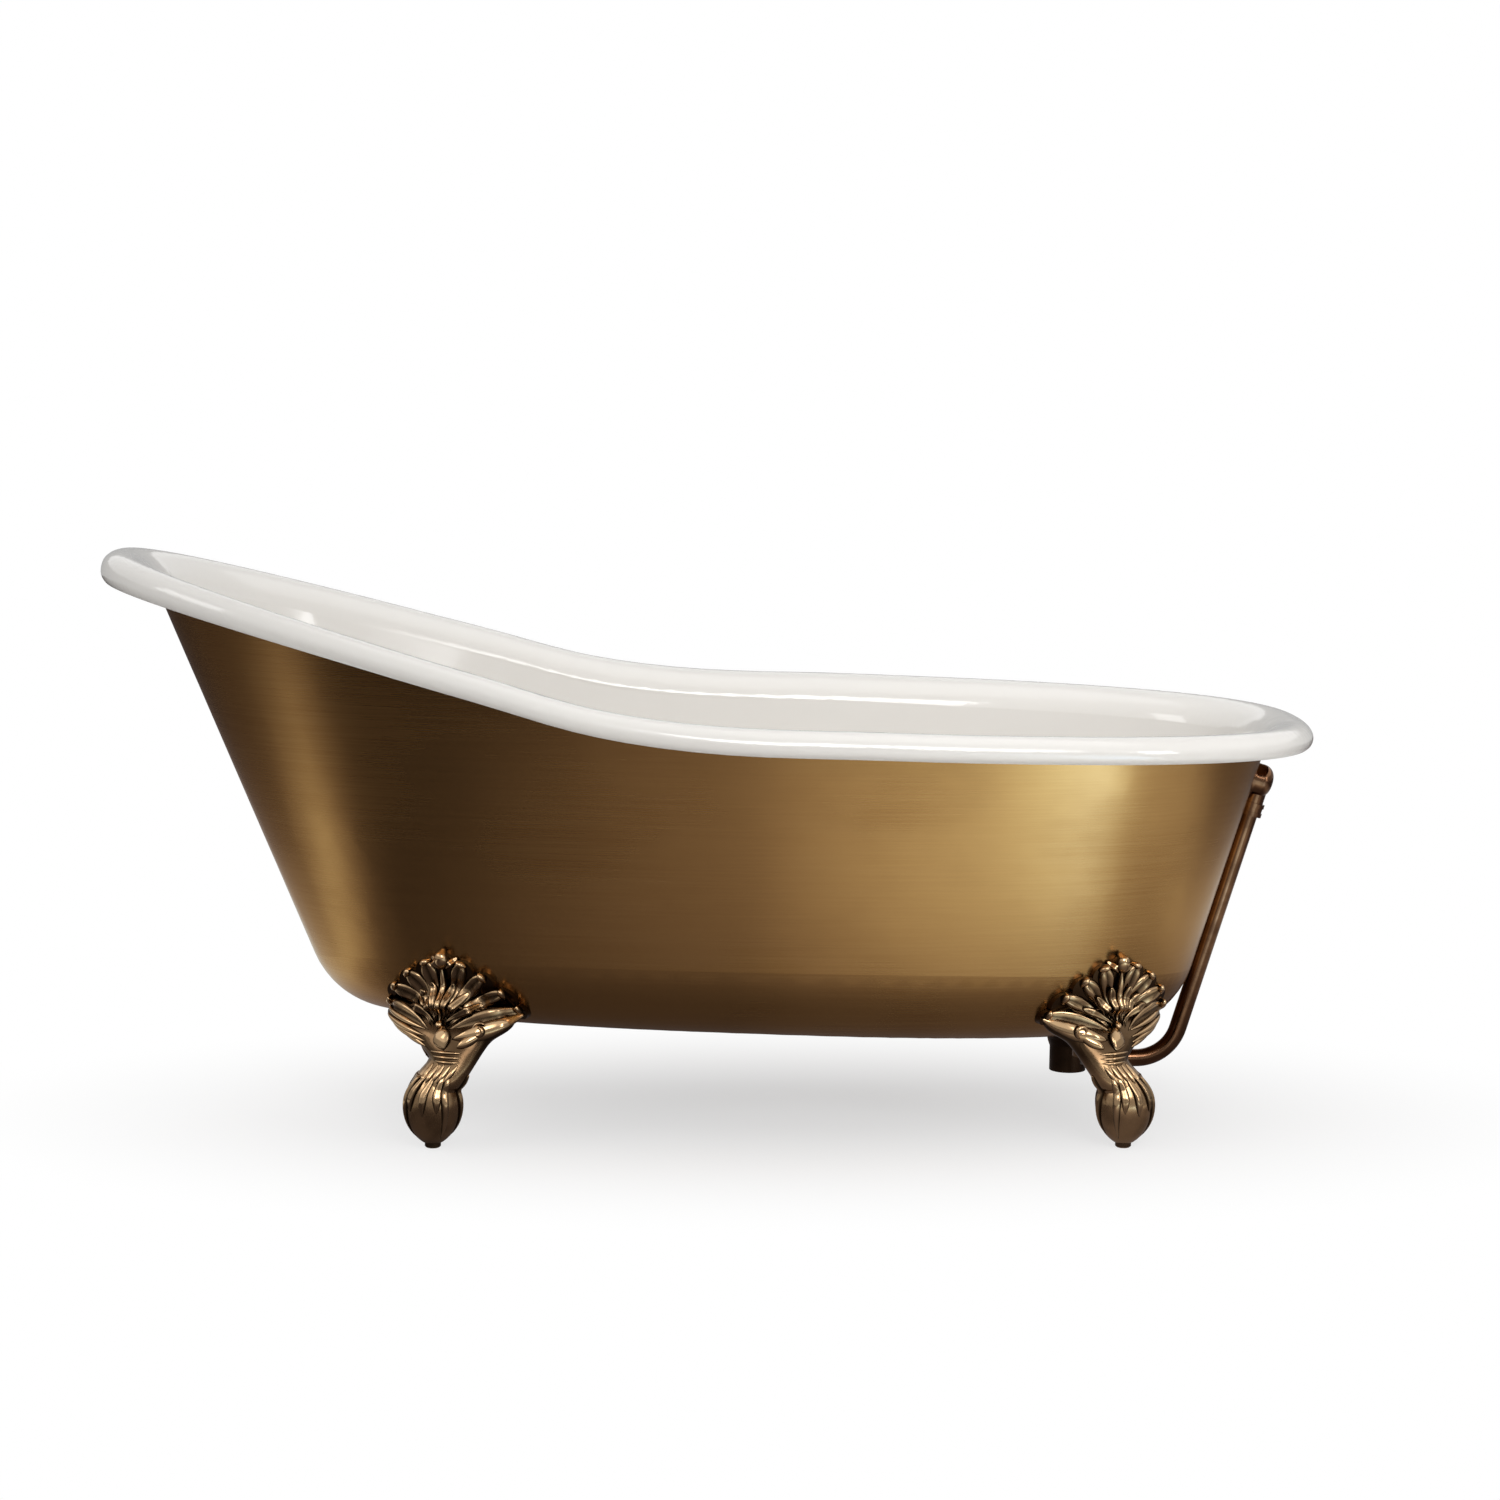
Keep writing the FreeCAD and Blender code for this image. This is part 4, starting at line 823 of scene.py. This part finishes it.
def ball_route(foot, angle, high, low):
    """A route down the ankle and the ball at an angle from the front, in degrees, in even steps."""
    turn = math.radians(angle)
    outwards = Vector((math.cos(turn), math.sin(turn), 0))
    sideways = Vector((-math.sin(turn), math.cos(turn), 0))
    heights = [high + (low - high) * step / BALL_STEPS for step in range(BALL_STEPS + 1)]
    trail = [foot.ball(turn, ankle_ring(height).lean, height) for height in heights]
    lengths = [0.0]
    for before, after in zip(trail, trail[1:]):
        lengths.append(lengths[-1] + (after - before).length)

    def route(share):
        goal = share * lengths[-1]
        reached = (step for step in range(BALL_STEPS) if lengths[step + 1] >= goal)
        step = next(reached, BALL_STEPS - 1)
        part = (goal - lengths[step]) / max(lengths[step + 1] - lengths[step], TINY)
        return trail[step].lerp(trail[step + 1], part), sideways, outwards

    return route


def build_talons(shape, foot):
    for angle, low in TALON_ENDS:
        spindle(shape, ball_route(foot, angle, TALON_TOP, low), **TALON)
    for angle, high, low in TOES:
        spindle(shape, ball_route(foot, angle, high, low), **TOE)


talons = [carving(foot, "talons", build_talons, carved_bronze) for foot in feet]
print("talons", [len(piece.data.polygons) for piece in talons])

# %% [markdown]
# ## Floor
# A product picture has a white floor that runs out of sight, with a soft shadow under the object. A
# floor that is lit to pure white would need so much light that the enamel would burn out, so part of
# the white is a glow that only pictures and reflections see. Near the bath nearly half of it stays
# plain paint, which keeps the shadow; further away the glow takes over and the horizon melts.

# %% Tools for the studio
def seen_directly(tree):
    """A socket that is 1 for what the camera, a mirror or a glass looks at, and 0 for bounced light."""
    path = tree.nodes.new("ShaderNodeLightPath")
    names = ("Is Camera Ray", "Is Glossy Ray", "Is Transmission Ray")
    rays = [Socket(tree, path.outputs[name]) for name in names]
    return (rays[0] + rays[1] + rays[2]).ramp(0.0, 1.0)


def show(material, surface):
    """Makes a wrapped shader the surface of a material."""
    tree = material.node_tree
    tree.links.new(surface.socket, tree.nodes["Material Output"].inputs["Surface"])


def flat_sheet(half, height=0.0):
    sheet = bmesh.new()
    bmesh.ops.create_grid(sheet, x_segments=1, y_segments=1, size=half)
    bmesh.ops.translate(sheet, vec=(0, 0, height), verts=sheet.verts)
    return sheet


def stage_mesh(name, shape, material):
    """A piece of the studio, which is not part of the bath."""
    mesh = bpy.data.meshes.new(name)
    shape.to_mesh(mesh)
    shape.free()
    mesh.materials.append(material)
    piece = bpy.data.objects.new(name, mesh)
    scene.collection.objects.link(piece)
    return piece


print("studio tools ready")

# %% Lay the floor
FLOOR_HALF = 40
PAINT = (0.84, 0.84, 0.84, 1)
PAINT_ROUGHNESS = 0.7
SHADOW_MIDDLE = Vector((0.12, -0.03, 0))
SHADOW_SIZE = Vector((0.80, 0.42, 1))
SHADOW_EDGES = (0.15, 1.6)
GLOW_NEAR = 0.56
GLOW_FAR = 1.0

paper, paper_shader, place = finish_material("white_floor", {
    "Base Color": PAINT, "Roughness": PAINT_ROUGHNESS})
offset = place.node("ShaderNodeVectorMath", {"operation": "SUBTRACT"}, {0: place, 1: SHADOW_MIDDLE})
oval = place.node("ShaderNodeVectorMath", {"operation": "DIVIDE"}, {0: offset, 1: SHADOW_SIZE})
distance = place.node("ShaderNodeVectorMath", {"operation": "LENGTH"}, {0: oval}, "Value")
glowing = seen_directly(paper.node_tree) * distance.ramp(*SHADOW_EDGES, GLOW_NEAR, GLOW_FAR)
paint = Socket(paper.node_tree, paper_shader.outputs[0])
glow = place.node("ShaderNodeEmission", {}, {})
show(paper, place.node("ShaderNodeMixShader", {}, {0: glowing, 1: paint, 2: glow}))
stage_mesh("floor", flat_sheet(FLOOR_HALF), paper)
print("floor laid,", 2 * FLOOR_HALF, "m wide")

# %% [markdown]
# ## Reflected card
# Metal shows what is around it, so what lies round the bath shapes the brass more than the lamps do. A
# photographer lays black and white card on the floor in front of such a bath. Lit card would change
# with every lamp, so this one glows by itself and is seen only in reflections. Its tones are listed
# along the bath. It is dark at the slipper end, but for one slanted band of light. It brightens
# towards the drain end, as far as a slanted edge, and fades far away. Under the bath it stays dim.
# The light on it is warm where it is dim and cooler where it is bright. The card is a painted
# reflection, and its dim stretch under the bath is a painted shadow of the bath.

# %% Choose the card's tones
CARD_REACH = 2.5
CARD_WARM = (1.0, 0.84, 0.87, 1)
CARD_YELLOW = (1.0, 1.30, 0.87, 1)
CARD_COOL = (1.0, 1.44, 2.10, 1)
FRONT_TONES = [
    (-2.5, 0.013), (-0.85, 0.024), (-0.65, 0.053), (-0.4, 0.099), (-0.1, 0.131), (0.02, 0.147),
    (0.14, 0.252), (0.4, 0.375), (0.72, 0.50), (0.95, 0.70), (1.15, 0.97), (2.5, 0.97)]
EDGE_TONES = [
    (-2.5, 1.0), (0.55, 1.0), (0.66, 0.82), (0.76, 0.42), (0.95, 0.33), (1.25, 0.31), (1.55, 0.19),
    (1.75, 0.07), (2.5, 0.07)]
EDGE_SLANT = 0.65
BAND_TONES = [
    (-2.5, 0.10), (-1.35, 0.16), (-1.0, 0.55), (-0.85, 1.0), (-0.70, 1.0), (-0.55, 0.36),
    (-0.42, 0.07), (-0.25, 0.0), (2.5, 0.0)]
BAND_SLANT = -1.13
BAND_PLACES = (-1.75, -1.3)
BAND_GLOWS = (0.11, 0.34)
FADE_ALONG = (0.2, 0.8)
FADE_AWAY = (0.9, 1.9)
FAR_FADE = 0.32
OPEN_AWAY = (0.25, 1.15)
OPEN_ALONG = (0.85, 1.35)
# The painted shadow of the bath on the card: its share of the open tone, and its own dim tone.
PAINTED_SHADOW_SHARE = 0.12
PAINTED_SHADOW_TONE = 0.024


def tones(place, stops):
    """A grey that changes along the card: pairs of a place in metres and a brightness."""
    share = place * (0.5 / CARD_REACH) + 0.5
    spread = [((spot + CARD_REACH) / (2 * CARD_REACH), value) for spot, value in stops]
    return share.node("ShaderNodeValToRGB", {"stops": spread}, {"Fac": share})


def card_colour(place):
    """The colour of the card at a place on it."""
    along = place.axis("X")
    across = place.axis("Y")
    in_front = across.math("MINIMUM", across, 0)
    away = across.node("ShaderNodeMath", {"operation": "ABSOLUTE"}, {0: across})
    open_floor = away.math("MAXIMUM", away.ramp(*OPEN_AWAY), along.ramp(*OPEN_ALONG))
    fade = 1 - along.ramp(*FADE_ALONG) * away.ramp(*FADE_AWAY, 0.0, FAR_FADE)
    front = tones(along, FRONT_TONES) * tones(in_front * EDGE_SLANT + along, EDGE_TONES) * fade
    band = tones(in_front * BAND_SLANT + along, BAND_TONES) * along.ramp(*BAND_PLACES, *BAND_GLOWS)
    # Under the bath the card stays dim: a painted shadow of the bath in the reflections.
    under = front * PAINTED_SHADOW_SHARE + PAINTED_SHADOW_TONE
    tone = open_floor * front + (1 - open_floor) * under + band
    tint = (tone * tone).mix(tone.mix(CARD_WARM, CARD_YELLOW), CARD_COOL)
    return tone.node("ShaderNodeVectorMath", {"operation": "MULTIPLY"}, {0: tone, 1: tint})


print("card tones", len(FRONT_TONES), "along it and", len(BAND_TONES), "over the band")

# %% Lay the card
CARD_HALF = 6.5
CARD_LIFT = 0.001
CARD_GLOW = 2.1


def only_in_reflections(piece):
    piece.visible_camera = False
    piece.visible_diffuse = False
    piece.visible_transmission = False
    piece.visible_volume_scatter = False
    piece.visible_shadow = False


card, _, place = finish_material("reflected_card", {})
show(card, place.node("ShaderNodeEmission", {}, {"Color": card_colour(place), "Strength": CARD_GLOW}))
only_in_reflections(stage_mesh("reflected_card", flat_sheet(CARD_HALF, CARD_LIFT), card))
print("card laid,", len(card.node_tree.nodes), "nodes")

# %% [markdown]
# ## Cloth round the set
# Above the card, the metal and the enamel mirror the far side of the studio. In a white room every
# level look would end in pure white and the forms would go flat, so a photographer hangs cloth round
# the set. It could be modelled with its folds, but a reflection this soft would not show them. A plain
# ring that glows a mid grey does the same, and like the card it is seen only in reflections.

# %% Hang the cloth
CLOTH_RADIUS = 6.5
CLOTH_HEIGHT = 2.6
CLOTH_SIDES = 64
CLOTH_GLOW = 0.42

cloth, _, place = finish_material("dark_cloth", {})
show(cloth, place.node("ShaderNodeEmission", {}, {"Strength": CLOTH_GLOW}))
ring = bmesh.new()
bmesh.ops.create_cone(ring, cap_ends=False, segments=CLOTH_SIDES, radius1=CLOTH_RADIUS,
                      radius2=CLOTH_RADIUS, depth=CLOTH_HEIGHT)
bmesh.ops.translate(ring, vec=(0, 0, CLOTH_HEIGHT / 2), verts=ring.verts)
only_in_reflections(stage_mesh("dark_cloth", ring, cloth))
print("cloth hung,", CLOTH_HEIGHT, "m high")

# %% [markdown]
# ## Lamps
# Hard lamps would leave sharp white spots on enamel and brass, so all four lamps are soft boxes, which
# are Area lights here: a wide one overhead, one high on the left, a narrow one on the right, and one in
# front that is held to a cone and lights the inside. Each is given a place and an aim, and its turn is
# worked out, which is easier to change than angles. The white room adds an even light. It looks white to
# the camera and in reflections, but only half as bright to the surfaces that it lights.

# %% Hang the lamps
ROOM_LIGHT = 0.50
WHITE = (1, 1, 1, 1)


def soft_box(name, place, aim, width, height, power, spread=180):
    data = bpy.data.lights.new(name, "AREA")
    data.shape = "RECTANGLE"
    data.size = width
    data.size_y = height
    data.energy = power
    data.spread = math.radians(spread)
    lamp = bpy.data.objects.new(name, data)
    lamp.location = place
    lamp.rotation_euler = (Vector(aim) - Vector(place)).to_track_quat("-Z", "Y").to_euler()
    scene.collection.objects.link(lamp)


soft_box("overhead", place=(0.6, 0.2, 3.2), aim=(0.2, 0, 0), width=2.6, height=2.0, power=12)
soft_box("left_box", place=(-3.0, -1.2, 2.8), aim=(0.2, 0, 0.5), width=1.4, height=1.4, power=14)
soft_box("right_box", place=(3.2, -2.8, 1.5), aim=(0.3, 0, 0.4), width=0.6, height=1.6, power=15)
soft_box("front_box", place=(1.0, -3.0, 2.2), aim=(0.6, 0.3, 0.5), width=2.2, height=1.4, power=7,
         spread=60)

world = bpy.data.worlds.new("studio")
world.use_nodes = True
scene.world = world
tree = world.node_tree
sky = tree.nodes["Background"]
sky.inputs["Color"].default_value = WHITE
strength = seen_directly(tree) * (1 - ROOM_LIGHT) + ROOM_LIGHT
tree.links.new(strength.socket, sky.inputs["Strength"])
print("lights", len([item for item in scene.objects if item.type == "LIGHT"]))
